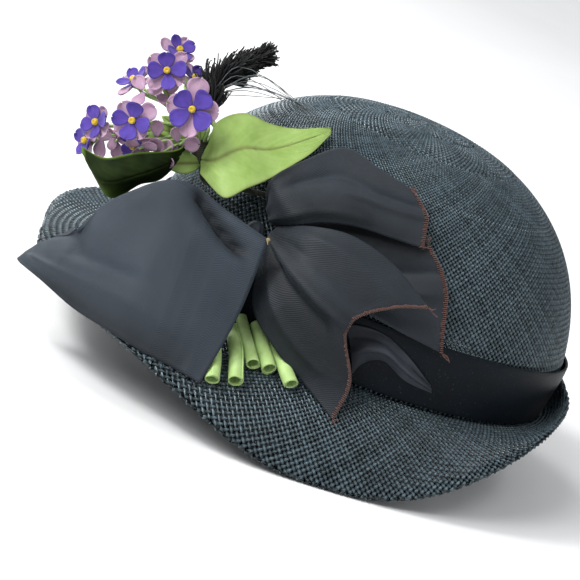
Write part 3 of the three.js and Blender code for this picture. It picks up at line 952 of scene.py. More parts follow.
@dataclass
class WovenStraw:
    """The crown and the brim, plaited from flat strands that cross at right angles.

    Attributes:
        crown_strands: How many strands leave the join each way in the crown.
        brim_strands: The same for the brim.
        wave: How far a strand rises and falls as it crosses the others.
        fill: A strand's breadth as a share of the distance to the next, in the brim.
        crown_fill: The same in the crown.
        fold: The radius of the hem's fold.
        hem_lift: How far the hem's middle stands over the solid's, so that its strands end on the floor.
        finest: The crown's radius at which every other strand ends, then again at half of it and so on.
        tip: The radius of the coiled button, where the plaiting starts.
        rows_behind_band: How many rows of the crown lie behind the band.
        rows_up_side: How many rows lie up to the end of its side.
        flatness: A strand's thickness as a share of its breadth.
        sides: The sides of a strand's section.
        brim_steps: How many points of the brim's section are worked out.
        bend_steps: The same round the hem's fold.
        collar_steps: The same up the collar.
        hem_steps: The same round the rim, for the hem's core.
        button_turns: How often the button's strand is coiled.
        button_steps: How many points its coil has.
        button_pitch: The distance from turn to turn.
        button_breadth: The coiled strand's breadth.
        crown_seed: The seed of the crown's unevenness.
        brim_seed: The seed of the brim's.
    """

    crown_strands: int = 216
    brim_strands: int = 276
    wave: float = 0.36
    fill: float = 0.9
    crown_fill: float = 1.1
    fold: float = 0.5
    hem_lift: float = 0.7
    finest: float = 42.0
    tip: float = 3.6
    rows_behind_band: int = 18
    rows_up_side: int = 74
    flatness: float = 0.42
    sides: int = 3
    brim_steps: int = 90
    bend_steps: int = 5
    collar_steps: int = 6
    hem_steps: int = 240
    button_turns: float = 4.5
    button_steps: int = 130
    button_pitch: float = 1.15
    button_breadth: float = 1.35
    crown_seed: int = 7
    brim_seed: int = 11

    def strand(
        self,
        lattice: Lattice,
        index: int,
        hand: int,
        rows: Array,
        step: int,
        count: int,
        tone: float,
        fill: float,
    ) -> Strand | None:
        """One strand along its crossings.

        Args:
            lattice: Gives points, normals and radii for angle numbers and rows; radius 0 where there is none.
            index: The strand's number.
            hand: 1 for those that lean one way, -1 for the others.
            rows: The rows that it crosses.
            step: How many finest rows lie between crossings there.
            count: How many strands the lattice has each way.
            tone: Its tone, from 0 to 1.
            fill: Its breadth as a share of the distance to the next.

        Returns:
            The strand, or None if it is too short.
        """
        turn = (2 * index + hand * rows) % (2 * count)
        points, normals, radii = lattice(turn, rows)
        ends = np.nonzero(radii <= 0)[0]
        last = ends[0] if len(ends) else len(rows)
        if last < SHORTEST_STRAND:
            return None
        points, normals, radii, rows = points[:last], normals[:last], radii[:last], rows[:last]
        over = hand * np.where((rows // step) % 2 == 0, 1.0, -1.0)
        pitch = 2 * math.pi * radii * step / count / math.sqrt(2)
        # The strand's tone mixes its own random tone with painted light: a painted highlight on each crest
        # where it passes over, and painted shade where it dips under.
        crest_light_and_tone = np.where(over > 0, 1.0, 0.2) * (0.7 + 0.3 * tone)
        return Strand(points + normals * (over * self.wave)[:, None], normals, pitch * fill, crest_light_and_tone)

    def crown_lattice(self) -> tuple[Lattice, Array]:
        """The crown's crossings.

        Returns:
            The lattice, and the mean radius at each row.
        """
        climbs = np.linspace(0, 0.9995, 6000)
        r = (FORM.half_length + FORM.half_width) / 2 * np.cos(climbs * math.pi / 2) ** (2 / FORM.squareness)
        z = FORM.height * np.sin(climbs * math.pi / 2) ** (2 / FORM.squareness)
        u = np.concatenate([[0], np.cumsum(np.hypot(np.diff(r), np.diff(z)) / ((r[1:] + r[:-1]) / 2))])
        rows = np.arange(int(u[r > self.tip][-1] / (math.pi / self.crown_strands)))
        climb_at = np.interp(rows * math.pi / self.crown_strands, u, climbs)
        inset = FORM.straw_wall / 2

        def surface(angle: Array, climb: Array) -> Array:
            """The middle of the crown's wall.

            Args:
                angle: Angles from the front.
                climb: From 0 at the join to 1 at the top.

            Returns:
                The points.
            """
            radius, height = FORM.crown(angle, climb)
            y = FORM.lean * (height / FORM.height) ** 2 - radius * np.cos(angle)
            return np.stack([radius * np.sin(angle), y, height], axis=-1)

        def lattice(turn: Array, row: Array) -> tuple[Array, Array, Array]:
            """Points, normals and radii of crossings.

            Args:
                turn: Their angle numbers.
                row: Their rows.

            Returns:
                One entry of each for each crossing.
            """
            angle, climb = turn * math.pi / self.crown_strands, climb_at[row]
            nudge = 1e-3
            around = surface(angle + nudge, climb) - surface(angle - nudge, climb)
            above, below = np.minimum(climb + nudge, 1), np.maximum(climb - nudge, 0)
            upwards = surface(angle, above) - surface(angle, below)
            normals = unit(np.cross(upwards, around))
            normals *= np.sign(np.sum(normals * surface(angle, climb), axis=-1, keepdims=True))
            points = surface(angle, climb) - normals * inset
            return points, normals, np.hypot(points[:, 0], points[:, 1])

        return lattice, np.interp(climb_at, climbs, r)

    def crown(self, material: Material) -> list[Piece]:
        """Plaits the crown.

        Towards the top every other strand ends, and later every other one again, so that the rest
        keep their size.

        Args:
            material: The straw's finish.

        Returns:
            Its foot behind the band, its side and its top.
        """
        lattice, radius = self.crown_lattice()
        random = np.random.default_rng(self.crown_seed)
        count = self.crown_strands
        starts = [0]
        while (radius > self.finest / 2 ** len(starts)).sum() < len(radius):
            starts.append(int((radius > self.finest / 2 ** (len(starts) - 1)).sum()))
        starts.append(len(radius))
        tones = random.random((2, count))
        spans = {
            "crown_foot_weave": (0, self.rows_behind_band),
            "crown_side_weave": (self.rows_behind_band, self.rows_up_side),
            "crown_top_weave": (self.rows_up_side, len(radius)),
        }
        made = []
        for name, (low, high) in spans.items():
            strands = []
            for level in range(len(starts) - 1):
                step = 2**level
                stop = starts[level + 1]
                first, last = -(-max(low, starts[level]) // step) * step, min(high, stop)
                if last <= first:
                    continue
                for index in range(0, count, step):
                    ends_here = level + 2 < len(starts) and (index // step) % 2 == 1 and last == stop
                    late = int(random.integers(0, 3)) * step if ends_here else step
                    rows = np.arange(first, min(last + late, len(radius) if last == stop else high + 1), step)
                    for tone, hand in zip(tones[:, index], (1, -1)):
                        told = (hand, rows, step, count, tone, self.crown_fill)
                        strands.append(self.strand(lattice, index, *told))
            made.append(strand_piece(name, list(filter(None, strands)), material, self.flatness, self.sides))
        return made

    def brim_lattice(self) -> tuple[Lattice, int]:
        """The brim's crossings, from the collar inside the crown, over the brim and round its folded hem.

        Returns:
            The lattice, and how many of its rows stand in the collar.
        """
        count = self.brim_strands
        angles = np.arange(2 * count) * math.pi / count
        shares = np.linspace(0, 1, self.brim_steps) ** 0.9
        r, z = FORM.brim(angles[:, None], np.broadcast_to(shares, (len(angles), len(shares))))
        z = z + self.hem_lift * shares**6
        middle = np.stack([r, z], axis=-1)
        out = unit(np.gradient(middle, axis=1))
        normal = np.stack([-out[..., 1], out[..., 0]], axis=-1)
        line = middle + normal * self.fold
        bends = np.linspace(0.15, 0.85, self.bend_steps)[:, None] * math.pi
        turned = normal[:, -1:] * np.cos(bends) + out[:, -1:] * np.sin(bends)
        under = (middle - normal * self.fold)[:, ::-1]
        collar = np.stack(
            np.broadcast_arrays(r[:, :1], np.linspace(FORM.collar_height, 0, self.collar_steps)),
            axis=-1,
        )
        way = np.concatenate([collar, line, middle[:, -1:] + turned * self.fold, under], axis=1)
        inwards = np.broadcast_to(np.array([-1.0, 0.0]), collar.shape)
        facing = np.concatenate([inwards, normal, turned, -normal[:, ::-1]], axis=1)
        arc = arc_length(way, 1)
        foot = arc[:, collar.shape[1]].mean()
        rim_arc = arc[:, collar.shape[1] + line.shape[1] - 1]
        base = r[:, 0].mean()
        collar_rows = int(-math.log(1 - foot / base) / (math.pi / count))

        def lattice(turn: Array, row: Array) -> tuple[Array, Array, Array]:
            """Points, normals and radii of crossings.

            Args:
                turn: Their angle numbers.
                row: Their rows.

            Returns:
                One entry of each for each crossing.
            """
            along = base * (np.exp((row - collar_rows) * math.pi / count) - 1)
            reach = foot + along
            values = np.array([
                [np.interp(x, arc[t], source[t, :, axis]) for source in (way, facing) for axis in (0, 1)]
                for x, t in zip(reach, turn)
            ])
            inside = (reach >= 0) & (reach <= rim_arc[turn] + 2 * self.fold + FORM.hem_width)
            points = ring_points(values[:, 0], angles[turn], values[:, 1])
            normals = unit(ring_points(values[:, 2], angles[turn], values[:, 3]))
            pitch_radius = base + np.maximum(along, -foot)
            return points, normals, np.where(inside, pitch_radius, 0.0)

        return lattice, collar_rows

    def brim(self, material: Material) -> list[Piece]:
        """Plaits the brim with its collar and its folded hem.

        Args:
            material: The straw's finish.

        Returns:
            The collar's weave and the brim's.
        """
        lattice, collar_rows = self.brim_lattice()
        random = np.random.default_rng(self.brim_seed)
        count = self.brim_strands
        farthest = max(FORM.widths) + FORM.hem_width + 6
        most = collar_rows + int(math.log(1 + farthest / FORM.half_width) / (math.pi / count))
        made = []
        for name, rows in {
            "collar_weave": np.arange(0, collar_rows + 3),
            "brim_weave": np.arange(collar_rows + 2, most),
        }.items():
            strands = []
            for index in range(count):
                for hand in (1, -1):
                    tone = float(random.random())
                    strands.append(self.strand(lattice, index, hand, rows, 1, count, tone, self.fill))
            made.append(strand_piece(name, list(filter(None, strands)), material, self.flatness, self.sides))
        return made

    def crown_button(self, material: Material) -> Piece:
        """The coiled strand at the crown's top, where the plaiting starts.

        Args:
            material: The straw's finish.

        Returns:
            The piece.
        """
        turn = np.linspace(0.3, self.button_turns * 2 * math.pi, self.button_steps)
        r = turn / (2 * math.pi) * self.button_pitch
        z = FORM.height - 0.5 - 0.5 * (r / 5) ** 2
        line = np.stack([r * np.sin(turn), FORM.lean - r * np.cos(turn), z], axis=-1)
        up = np.broadcast_to(UP, line.shape)
        tone = 0.55 + 0.4 * np.sin(turn * 9)
        coil = Strand(line, up, np.full(self.button_steps, self.button_breadth), tone)
        return strand_piece("crown_button", [coil], material, 0.6, 6)

    def hem_cord(self, material: Material) -> Piece:
        """The smooth core that the hem is folded round.

        Args:
            material: The straw's finish.

        Returns:
            The piece.
        """
        angles = np.linspace(0, 2 * math.pi, self.hem_steps, endpoint=False)
        r, z = FORM.rim(angles)
        z = z + self.hem_lift
        turns = np.linspace(0, 2 * math.pi, 9)
        radius = self.fold * 0.95
        out = r[:, None] + radius * np.cos(turns)
        up = z[:, None] + radius * np.sin(turns)
        ring = ring_points(out, angles[:, None], up)
        data = grid_mesh(ring, {"tone": np.full(ring.shape[:2], 0.4)}, ring=True)
        return add_piece("hem_cord", data, material)

    def build(self, material: Material) -> None:
        """Builds all the straw and stands it for the crown's and the brim's solids.

        Args:
            material: The straw's finish.
        """
        crown = [*self.crown(material), self.crown_button(material)]
        brim = [*self.brim(material), self.hem_cord(material)]
        for piece in crown + brim:
            finished(piece, Slot.STRAW)
        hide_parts("crown")
        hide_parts("brim")


# The steps of an overlocked thread in each stitch, and the loose ends at each of its corners
STITCH_STEPS = 6
LOOSE_ENDS = 3
# How much of a sheet's width a notch draws along
NOTCH_REACH = 0.35


def reading(points: Array, count: int) -> Array:
    """Evenly many points on the smooth curve through a few."""
    return spline(np.asarray(points, float), np.linspace(0, 1, count))


def across_line(points: Array) -> Array:
    """A unit vector across a line at each of its points.

    Args:
        points: The line's points.

    Returns:
        A vector for each.
    """
    way = unit(np.gradient(points, axis=0))
    aside = np.cross(way, np.array([0.31, 0.23, 0.92]))
    return unit(aside)


def round_strand(points: Array, radius: float | Array, tone: float = 0.5) -> Strand:
    """A round strand along points, whose radius may change on the way."""
    breadth = 2 * np.broadcast_to(np.asarray(radius, float), (len(points),))
    return Strand(np.asarray(points, float), across_line(points), breadth, tone)


def wrapped_edge(
    grid: Array, pitch: float, reach: float, rise: float, radius: float, seed: int
) -> list[Strand]:
    """The overlocked thread that wraps a sheet's cut end, with the loose ends at its corners.

    Args:
        grid: The sheet's points; the end is its last row.
        pitch: The distance from stitch to stitch.
        reach: How far each stitch goes into the cloth.
        rise: How far it stands off the cloth.
        radius: The thread's radius.
        seed: The seed of its small unevenness.

    Returns:
        The thread and its loose ends.
    """
    random = np.random.default_rng(seed)
    arc = arc_length(grid[-1], 0)
    stitches = int(arc[-1] / pitch)
    steps = stitches * STITCH_STEPS
    at = np.linspace(0, arc[-1], steps)

    def along_edge(values: Array) -> Array:
        """Vectors of the edge's points, read at each step of the thread."""
        return np.stack([np.interp(at, arc, values[:, k]) for k in range(3)], axis=-1)

    line = along_edge(grid[-1])
    normal = unit(along_edge(grid_normals(grid)[-1]))
    inwards = unit(along_edge(grid[-3] - grid[-1]))
    uneven = np.repeat(random.uniform(0.75, 1.3, stitches), STITCH_STEPS)[:, None]
    turn = np.linspace(0, stitches * 2 * math.pi, steps)[:, None]
    depth = reach * uneven * (0.5 + 0.5 * np.cos(turn)) - 0.25
    points = line + inwards * depth + normal * rise * np.sin(turn)
    strands = [round_strand(points, radius, 0.5)]
    for corner in (0, -1):
        for _ in range(LOOSE_ENDS):
            loose = random.normal(0, 1.0, 3) - inwards[corner] * 2.2
            middle = line[corner] + loose * 0.5 + random.normal(0, 0.5, 3)
            way = reading(np.stack([line[corner], middle, line[corner] + loose]), 7)
            strands.append(round_strand(way, radius * 0.8))
    return strands


@dataclass(frozen=True)
class Crease:
    """A fold line pressed into a sheet, with painted shade or a painted highlight along it.

    Attributes:
        start: Where it begins, as shares along and across the sheet.
        end: Where it ends.
        width: Its half width, as a share of the sheet.
        depth: How far the cloth goes in, in millimetres; less than 0 stands out.
        shade: How much painted shade darkens the cloth there; less than 0 paints a highlight.
    """

    start: tuple[float, float]
    end: tuple[float, float]
    width: float
    depth: float
    shade: float = 0.0


def creased(grid: Array, creases: Sequence[Crease], plain: float = 0.55) -> tuple[Array, Array]:
    """Presses creases into a grid of points, and paints shade and highlights along them into a tone.

    Args:
        grid: The sheet's points.
        creases: The fold lines.
        plain: The tone of the cloth away from them.

    Returns:
        The moved points, and the cloth's tone from 0 to 1, which carries the painted shade and highlights.
    """
    u, v = share_grid(*grid.shape[:2])
    shift, tone = np.zeros_like(u), np.full_like(u, plain)
    for crease in creases:
        a, b = np.array(crease.start), np.array(crease.end)
        way = b - a
        t = np.clip(((u - a[0]) * way[0] + (v - a[1]) * way[1]) / (way @ way), 0, 1)
        away = np.hypot(u - a[0] - t * way[0], v - a[1] - t * way[1])
        fade = np.sqrt(np.clip(1 - np.abs(2 * t - 1) ** 4, 0, 1)) * 0.6 + 0.4
        near = fade * np.exp(-np.abs(away / crease.width) ** 1.4)
        shift -= crease.depth * near
        # Painted shade along the crease, or a painted highlight where its shade is below 0.
        tone -= crease.shade * near
    return grid + grid_normals(grid) * shift[..., None], np.clip(tone, 0, 1)


def notched(grid: Array, place: float, width: float, depth: float) -> Array:
    """Draws a sheet's first edge inwards over a short stretch.

    Args:
        grid: The sheet's points.
        place: Where the notch lies, as a share of the length.
        width: Its half width, as a share.
        depth: How far the edge is drawn in, in millimetres.

    Returns:
        The moved points.
    """
    u, v = share_grid(*grid.shape[:2])
    inwards = unit(grid[:, 3:4] - grid[:, :1])
    amount = depth * np.exp(-(((u - place) / width) ** 2)) * np.clip(1 - v / NOTCH_REACH, 0, 1) ** 2
    return grid + inwards * amount[..., None]


def closed_grid(grid: Array) -> MeshData:
    """A closed body over a grid whose first and last rows meet and whose columns end in two poles.

    Args:
        grid: Its points.

    Returns:
        The body's mesh.
    """
    rows, columns = grid.shape[0] - 1, grid.shape[1] - 2
    corners = np.concatenate([grid[:-1, 1:-1].reshape(-1, 3), grid[:1, 0], grid[:1, -1]])
    low, high = len(corners) - 2, len(corners) - 1
    faces = []
    for i in range(rows):
        here, there = i * columns, (i + 1) % rows * columns
        faces.append((low, here, there))
        faces += [(here + j, here + j + 1, there + j + 1, there + j) for j in range(columns - 1)]
        faces.append((here + columns - 1, high, there + columns - 1))
    return MeshData(corners, faces)


def declare_sheet(
    piece: Piece,
    node: str,
    slot: Slot,
    with_pieces: Sequence[Piece] = (),
) -> None:
    """Finishes a sheet and what is sewn to it, and hides the solid that it stands for.

    Args:
        piece: The sheet.
        node: The solid that it stands for.
        slot: The finish slot.
        with_pieces: What is sewn to it.
    """
    finished(piece, slot, node)
    for extra in with_pieces:
        finished(extra, slot)


@dataclass
class HatBand:
    """The satin band round the crown, with the fold that it takes under the bow.

    Attributes:
        wall: The band's thickness.
        steps: How many points lie round the band, and how many up it.
        edge: The width of its rounded edges.
        fold_wall: The thickness of the fold's cloth.
        fold_steps: The steps along and across the fold.
        fold_sink: How far the fold's far end sinks towards the band.
        fold_rows: The net that the fold lies on.
    """

    wall: float = 1.2
    steps: tuple[int, int] = (240, 15)
    edge: float = 0.3
    fold_wall: float = 0.7
    fold_steps: tuple[int, int] = (44, 26)
    fold_sink: float = 1.1
    fold_rows: Table = (
        ((0.13, 0.24, 1), (0.05, 0.26, 1), (-0.04, 0.26, 1), (-0.17, 0.21, 1), (-0.31, 0.125, 0.98)),
        ((0.06, 0.14, 1.03), (0.01, 0.19, 1.06), (-0.06, 0.21, 1.07), (-0.18, 0.16, 1.03),
         (-0.32, 0.11, 0.98)),
        ((0.02, 0.05, 1.02), (-0.01, 0.12, 1.02), (-0.07, 0.16, 1.03), (-0.2, 0.11, 1.01),
         (-0.33, 0.095, 0.98)),
    )

    def grid(self) -> Array:
        """The band's middle, with small waves along its upper edge.

        Returns:
            The grid's points.
        """
        around, up = self.steps
        angles = np.linspace(0, 2 * math.pi, around + 1)[:-1]
        angle, share = np.meshgrid(angles, np.linspace(0, 1, up), indexing="ij")
        height = FORM.band_low + share * (FORM.band_top(angle) - FORM.band_low)
        wave = 0.25 * np.sin(7 * angle + 1.3) + 0.2 * np.sin(13 * angle)
        r = FORM.band_inner(angle, height) + self.wall / 2 + 0.2 * share * (1 + wave)
        edge = 0.4 * wave * (share - 0.5)
        return ring_points(r, angle, height + edge)

    def build(self, material: Material, lighter: Material) -> None:
        """Builds the band, and its fold in a lighter satin, which is a painted highlight.

        Args:
            material: The band's satin.
            lighter: The fold's satin, lighter as a painted highlight.
        """
        grid = self.grid()
        band = add_piece("satin_band", grid_mesh(grid, ring=True), material)
        add_modifier(band, "SOLIDIFY", thickness=self.wall * MM, offset=0.0)
        add_modifier(band, "BEVEL", width=self.edge * MM, segments=2, limit_method="ANGLE")
        made_plain(band)
        along, across = self.fold_steps
        lift = layer(0) - self.fold_sink * np.linspace(0, 1, along + 1)[:, None] ** 2
        fold_grid, _ = creased(
            Net(self.fold_rows, lift).grid(along, across),
            [
                Crease((0.0, 0.5), (0.98, 0.56), 0.07, 1.6),
                Crease((0.0, 0.24), (0.98, 0.24), 0.12, -1.6),
            ],
        )
        fold = thickened("satin_fold", grid_mesh(fold_grid), lighter, self.fold_wall)
        declare_sheet(band, "hat_band", Slot.SATIN)
        declare_sheet(fold, "band_fold", Slot.SATIN)


@dataclass
class RibbonBow:
    """The flat bow of charcoal ribbon: a front loop, three tails and the gathered knot.

    Attributes:
        wall: The ribbon's thickness.
        loop_depth: How far the loop's back lies behind its front at the knot.
        loop_fold: The same at the loop's tip.
        loop_sink: How far the back's upper edge hangs below the front's, as a share of that depth.
        knot_place: The knot's middle.
        knot_half: Half the knot's sizes along the band, outwards and up.
        knot_steps: The steps round it and over it.
        knot_pleats: How many pleats it has.
        knot_fill: How full the padded knot is; not used.
        stitch: The overlocked stitches' distance, reach and rise.
        thread: The radius of their thread.
        tail_tone: The tone of the tails' plain cloth, darker than the loop's as painted shade.
        thread_turn: The radius of the turns in the knot's thread.
        loop_steps: The steps along and across the loop's front.
        fold_bends: The steps round the fold at the loop's tip.
        loop_notches: The place, width and depth of each notch in the loop's upper edge.
        loop_rows, upper_rows, second_rows, middle_rows: The nets of the loop and the tails.
    """

    wall: float = 0.7
    loop_depth: float = 18.0
    loop_fold: float = 4.0
    loop_sink: float = 0.38
    knot_place: Triple = (0.615, 0.4, 0.8)
    knot_half: Triple = (4.5, 3.6, 6.0)
    knot_steps: tuple[int, int] = (65, 33)
    knot_pleats: int = 9
    knot_fill: float = 0.6
    stitch: Triple = (0.85, 1.7, 0.8)
    thread: float = 0.28
    tail_tone: float = 0.2
    thread_turn: float = 0.75
    loop_steps: tuple[int, int] = (60, 34)
    fold_bends: int = 4
    loop_notches: Sequence[Triple] = ((0.8, 0.026, 8.0), (0.865, 0.055, 5.5))
    loop_rows: Table = (
        ((0.56, 0.45, 1.03), (0.75, 0.49, 1.02), (0.9, 0.54, 1.03), (1.02, 0.53, 1.04), (1.17, 0.41, 1.05),
         (1.29, 0.25, 1.02), (1.4, 0.08, 1)),
        ((0.57, 0.16, 1.23), (0.74, 0.18, 1.28), (0.89, 0.22, 1.29), (1.02, 0.22, 1.28), (1.19, 0.16, 1.22),
         (1.35, 0.08, 1.1), (1.43, 0.03, 0.98)),
        ((0.62, -0.116, 1.42), (0.744, -0.096, 1.42), (0.887, -0.08, 1.42), (1.02, -0.06, 1.4),
         (1.2, -0.06, 1.27), (1.37, -0.03, 1.13), (1.46, -0.03, 1)),
    )
    upper_rows: Table = (
        ((0.61, 0.53, 0.8), (0.64, 0.65, 0.86), (0.54, 0.76, 0.78), (0.38, 0.86, 0.66), (0.22, 0.84, 0.71),
         (0.07, 0.82, 0.75)),
        ((0.58, 0.5, 0.8), (0.55, 0.59, 0.92), (0.46, 0.67, 0.89), (0.33, 0.73, 0.86), (0.18, 0.74, 0.85),
         (-0.02, 0.76, 0.82)),
        ((0.55, 0.47, 0.8), (0.46, 0.54, 0.93), (0.35, 0.59, 0.93), (0.22, 0.62, 0.93), (0.09, 0.63, 0.93),
         (-0.05, 0.64, 0.93)),
    )
    second_rows: Table = (
        ((0.53, 0.5, 0.8), (0.38, 0.56, 0.84), (0.2, 0.61, 0.84), (0.06, 0.63, 0.85), (-0.05, 0.67, 0.87)),
        ((0.53, 0.43, 0.8), (0.36, 0.45, 0.95), (0.17, 0.46, 0.97), (-0.02, 0.49, 0.97), (-0.19, 0.55, 0.95)),
        ((0.53, 0.4, 0.8), (0.35, 0.37, 0.99), (0.17, 0.34, 1.03), (-0.03, 0.31, 1.05), (-0.29, 0.28, 1.03)),
    )
    middle_rows: Table = (
        ((0.55, 0.38, 0.85), (0.51, 0.17, 1.06), (0.37, 0.06, 1.12), (0.23, -0.01, 1.15),
         (0.045, -0.106, 1.245)),
        ((0.55, 0.41, 0.85), (0.44, 0.25, 1.11), (0.29, 0.15, 1.17), (0.16, 0.1, 1.19), (0.03, 0.05, 1.19)),
        ((0.55, 0.44, 0.85), (0.43, 0.42, 1.12), (0.31, 0.37, 1.21), (0.21, 0.32, 1.22), (0.14, 0.28, 1.2)),
        ((0.54, 0.46, 0.85), (0.43, 0.51, 1.07), (0.28, 0.5, 1.13), (0.14, 0.45, 1.15), (0, 0.4, 1.14)),
        ((0.53, 0.48, 0.85), (0.4, 0.57, 1.01), (0.26, 0.6, 1.05), (0.06, 0.56, 1.07), (-0.15, 0.45, 1.09)),
    )

    def loop_grid(self) -> tuple[Array, Array]:
        """The loop's cloth and its tone of painted shade and highlights, from the knot along its front, round
        the tip and back.

        The loop lies lowest along its lower edge.

        Returns:
            The points and the tones.
        """
        along, across = self.loop_steps
        whole = Net(self.loop_rows, layer(3 - 2 * np.linspace(0, 1, across + 1))).grid(along, across)
        for notch in self.loop_notches:
            whole = notched(whole, *notch)
        # Each crease's last number paints shade into the tone, or a highlight below 0; the one along the
        # lower edge paints shade there.
        front, tone = creased(
            whole,
            [
                Crease((0.88, 0.0), (0.72, 0.5), 0.05, 3.0, 0.12),
                Crease((0.98, 0.2), (0.9, 0.75), 0.06, -2.0, -0.05),
                Crease((0.72, 0.5), (0.5, 0.62), 0.04, 1.8, -0.1),
                Crease((0.5, 0.5), (0.42, 0.56), 0.03, -0.8),
                Crease((0.34, 0.04), (0.07, 0.16), 0.03, 6.5, 1.2),
                Crease((0.0, 0.06), (0.18, 0.02), 0.03, -1.6, -0.15),
                Crease((0.05, 0.24), (0.3, 0.2), 0.04, -1.4, -0.1),
                Crease((0.98, 0.7), (0.2, 0.8), 0.06, -1.6),
                Crease((0.9, 0.95), (0.1, 0.98), 0.12, 2.0, 0.45),
                Crease((0.3, 0.08), (0.6, 0.12), 0.1, -1.8, 0.12),
            ],
        )
        share = np.linspace(0, 1, along + 1)[:, None]
        depth = self.loop_fold + self.loop_depth * (1 - share) ** 0.7
        sunk = self.loop_sink * depth * np.linspace(1, 0, across + 1) ** 2
        back = FORM.rest_on(whole - np.stack(np.broadcast_arrays(depth, 0.0, sunk), axis=-1), layer(0))
        turns = np.linspace(0, math.pi, self.fold_bends + 2)[1:-1]
        middle, half = (front[-1] + back[-1]) / 2, (front[-1] - back[-1]) / 2
        bulge = unit(front[-1] - front[-2]) * self.loop_fold / 2
        fold = np.stack([middle + half * math.cos(t) + bulge * math.sin(t) for t in turns])
        # The fold at the tip and the back take a darker tone: painted shade behind the front.
        inner = np.zeros((len(fold) + len(back) - 1, across + 1))
        return np.concatenate([front, fold, back[:-1][::-1]]), np.concatenate([tone, inner + 0.3])

    def tail_grids(self) -> dict[str, tuple[Array, Array]]:
        """The tails' cloth and its tone of painted shade and highlights, by the name of the solid that each
        stands for.

        The middle tail lies lowest at its free end.

        Returns:
            The points and the tones of each tail.
        """
        steps = 56
        falling = layer(2 - 1.6 * np.linspace(0, 1, steps + 1))[:, None]
        # The tails' plain tone is painted shade, darker than the loop's; each crease's last number paints
        # shade, or a highlight below 0, and those of depth 0 only paint shade.
        upper = creased(Net(self.upper_rows, layer(1)).grid(steps, 30), [
            Crease((0.0, 0.7), (0.7, 0.86), 0.13, 2.0, 0.42),
            Crease((0.3, 0.26), (0.98, 0.4), 0.07, -2.4, -0.12),
            Crease((0.0, 0.1), (0.35, 0.06), 0.12, -1.0, 0.22),
            Crease((0.6, 0.55), (1.0, 0.6), 0.03, 1.2, 0.1),
            Crease((0.75, 0.95), (1.0, 0.9), 0.1, 0.0, 0.15),
        ], self.tail_tone)
        second = creased(Net(self.second_rows, layer(0)).grid(48, 30), [
            Crease((0.05, 0.12), (0.9, 0.1), 0.18, 2.4, 0.55),
            Crease((0.3, 0.44), (1.0, 0.4), 0.06, -1.8, -0.08),
            Crease((0.5, 0.66), (1.0, 0.62), 0.06, 1.8, 0.15),
            Crease((0.4, 0.85), (1.0, 0.86), 0.06, -1.4),
        ], self.tail_tone)
        middle = creased(Net(self.middle_rows, falling).grid(steps, steps), [
            Crease((0.02, 0.43), (0.99, 0.5), 0.028, -3.2, -0.1),
            Crease((0.02, 0.35), (0.7, 0.4), 0.05, 3.0, 0.32),
            Crease((0.3, 0.2), (1.0, 0.26), 0.19, 0.0, 0.26),
            Crease((0.3, 0.56), (0.98, 0.58), 0.05, 0.0, -0.12),
            Crease((0.15, 0.62), (0.95, 0.66), 0.1, 1.6),
            Crease((0.1, 0.2), (0.8, 0.16), 0.05, -1.2),
            Crease((0.3, 0.82), (0.95, 0.85), 0.06, -1.4, -0.04),
            Crease((0.0, 0.5), (0.12, 0.5), 0.4, 0.0, 0.2),
        ], self.tail_tone)
        return {"upper_tail": upper, "second_tail": second, "middle_tail": middle}

    def build(self, material: Material, thread: Material, pale_thread: Material) -> None:
        """Builds the loop, the tails with their overlocked ends, the knot and its thread.

        Args:
            material: The ribbon's finish.
            thread: The overlocked ends' finish.
            pale_thread: The knotted thread's finish.
        """
        loop_grid, tone = self.loop_grid()
        loop = thickened("ribbon_loop", grid_mesh(loop_grid, {"tone": tone}), material, self.wall)
        declare_sheet(loop, "bow_loop", Slot.RIBBON)
        for node, (grid, tone) in self.tail_grids().items():
            tail = thickened(f"ribbon_{node}", grid_mesh(grid, {"tone": tone}), material, self.wall)
            stitches = wrapped_edge(grid, *self.stitch, self.thread, len(node))
            seam = strand_piece(f"overlock_{node}", stitches, thread, 1.0, 5)
            declare_sheet(tail, node, Slot.RIBBON, [seam])
        self.knot(material)
        self.tying_thread(loop_grid, pale_thread)

    def tying_thread(self, grid: Array, material: Material) -> None:
        """Builds the little knot of pale thread at the loop's corner, from small turns and a loose end.

        Args:
            grid: The loop's points.
            material: The thread's finish.
        """
        place = grid[0, 0]
        away = unit(np.array([place[0], place[1], 0.0]))
        aside = np.array([-away[1], away[0], 0.0])
        t = np.linspace(0, 5 * math.pi, 46)[:, None]
        size = self.thread_turn * (1 - 0.03 * t)
        turns = place + away * (0.6 + 0.04 * t) + size * (aside * np.cos(t) + UP * np.sin(t))
        s = np.linspace(0, 1, 8)[:, None]
        end = turns[-1] + aside * 1.6 * s - 1.4 * UP * s**2 + away * 0.5 * s
        threads = [round_strand(turns, 0.3), round_strand(end, 0.22)]
        finished(strand_piece("tying_thread", threads, material, 1.0, 5), Slot.RIBBON)

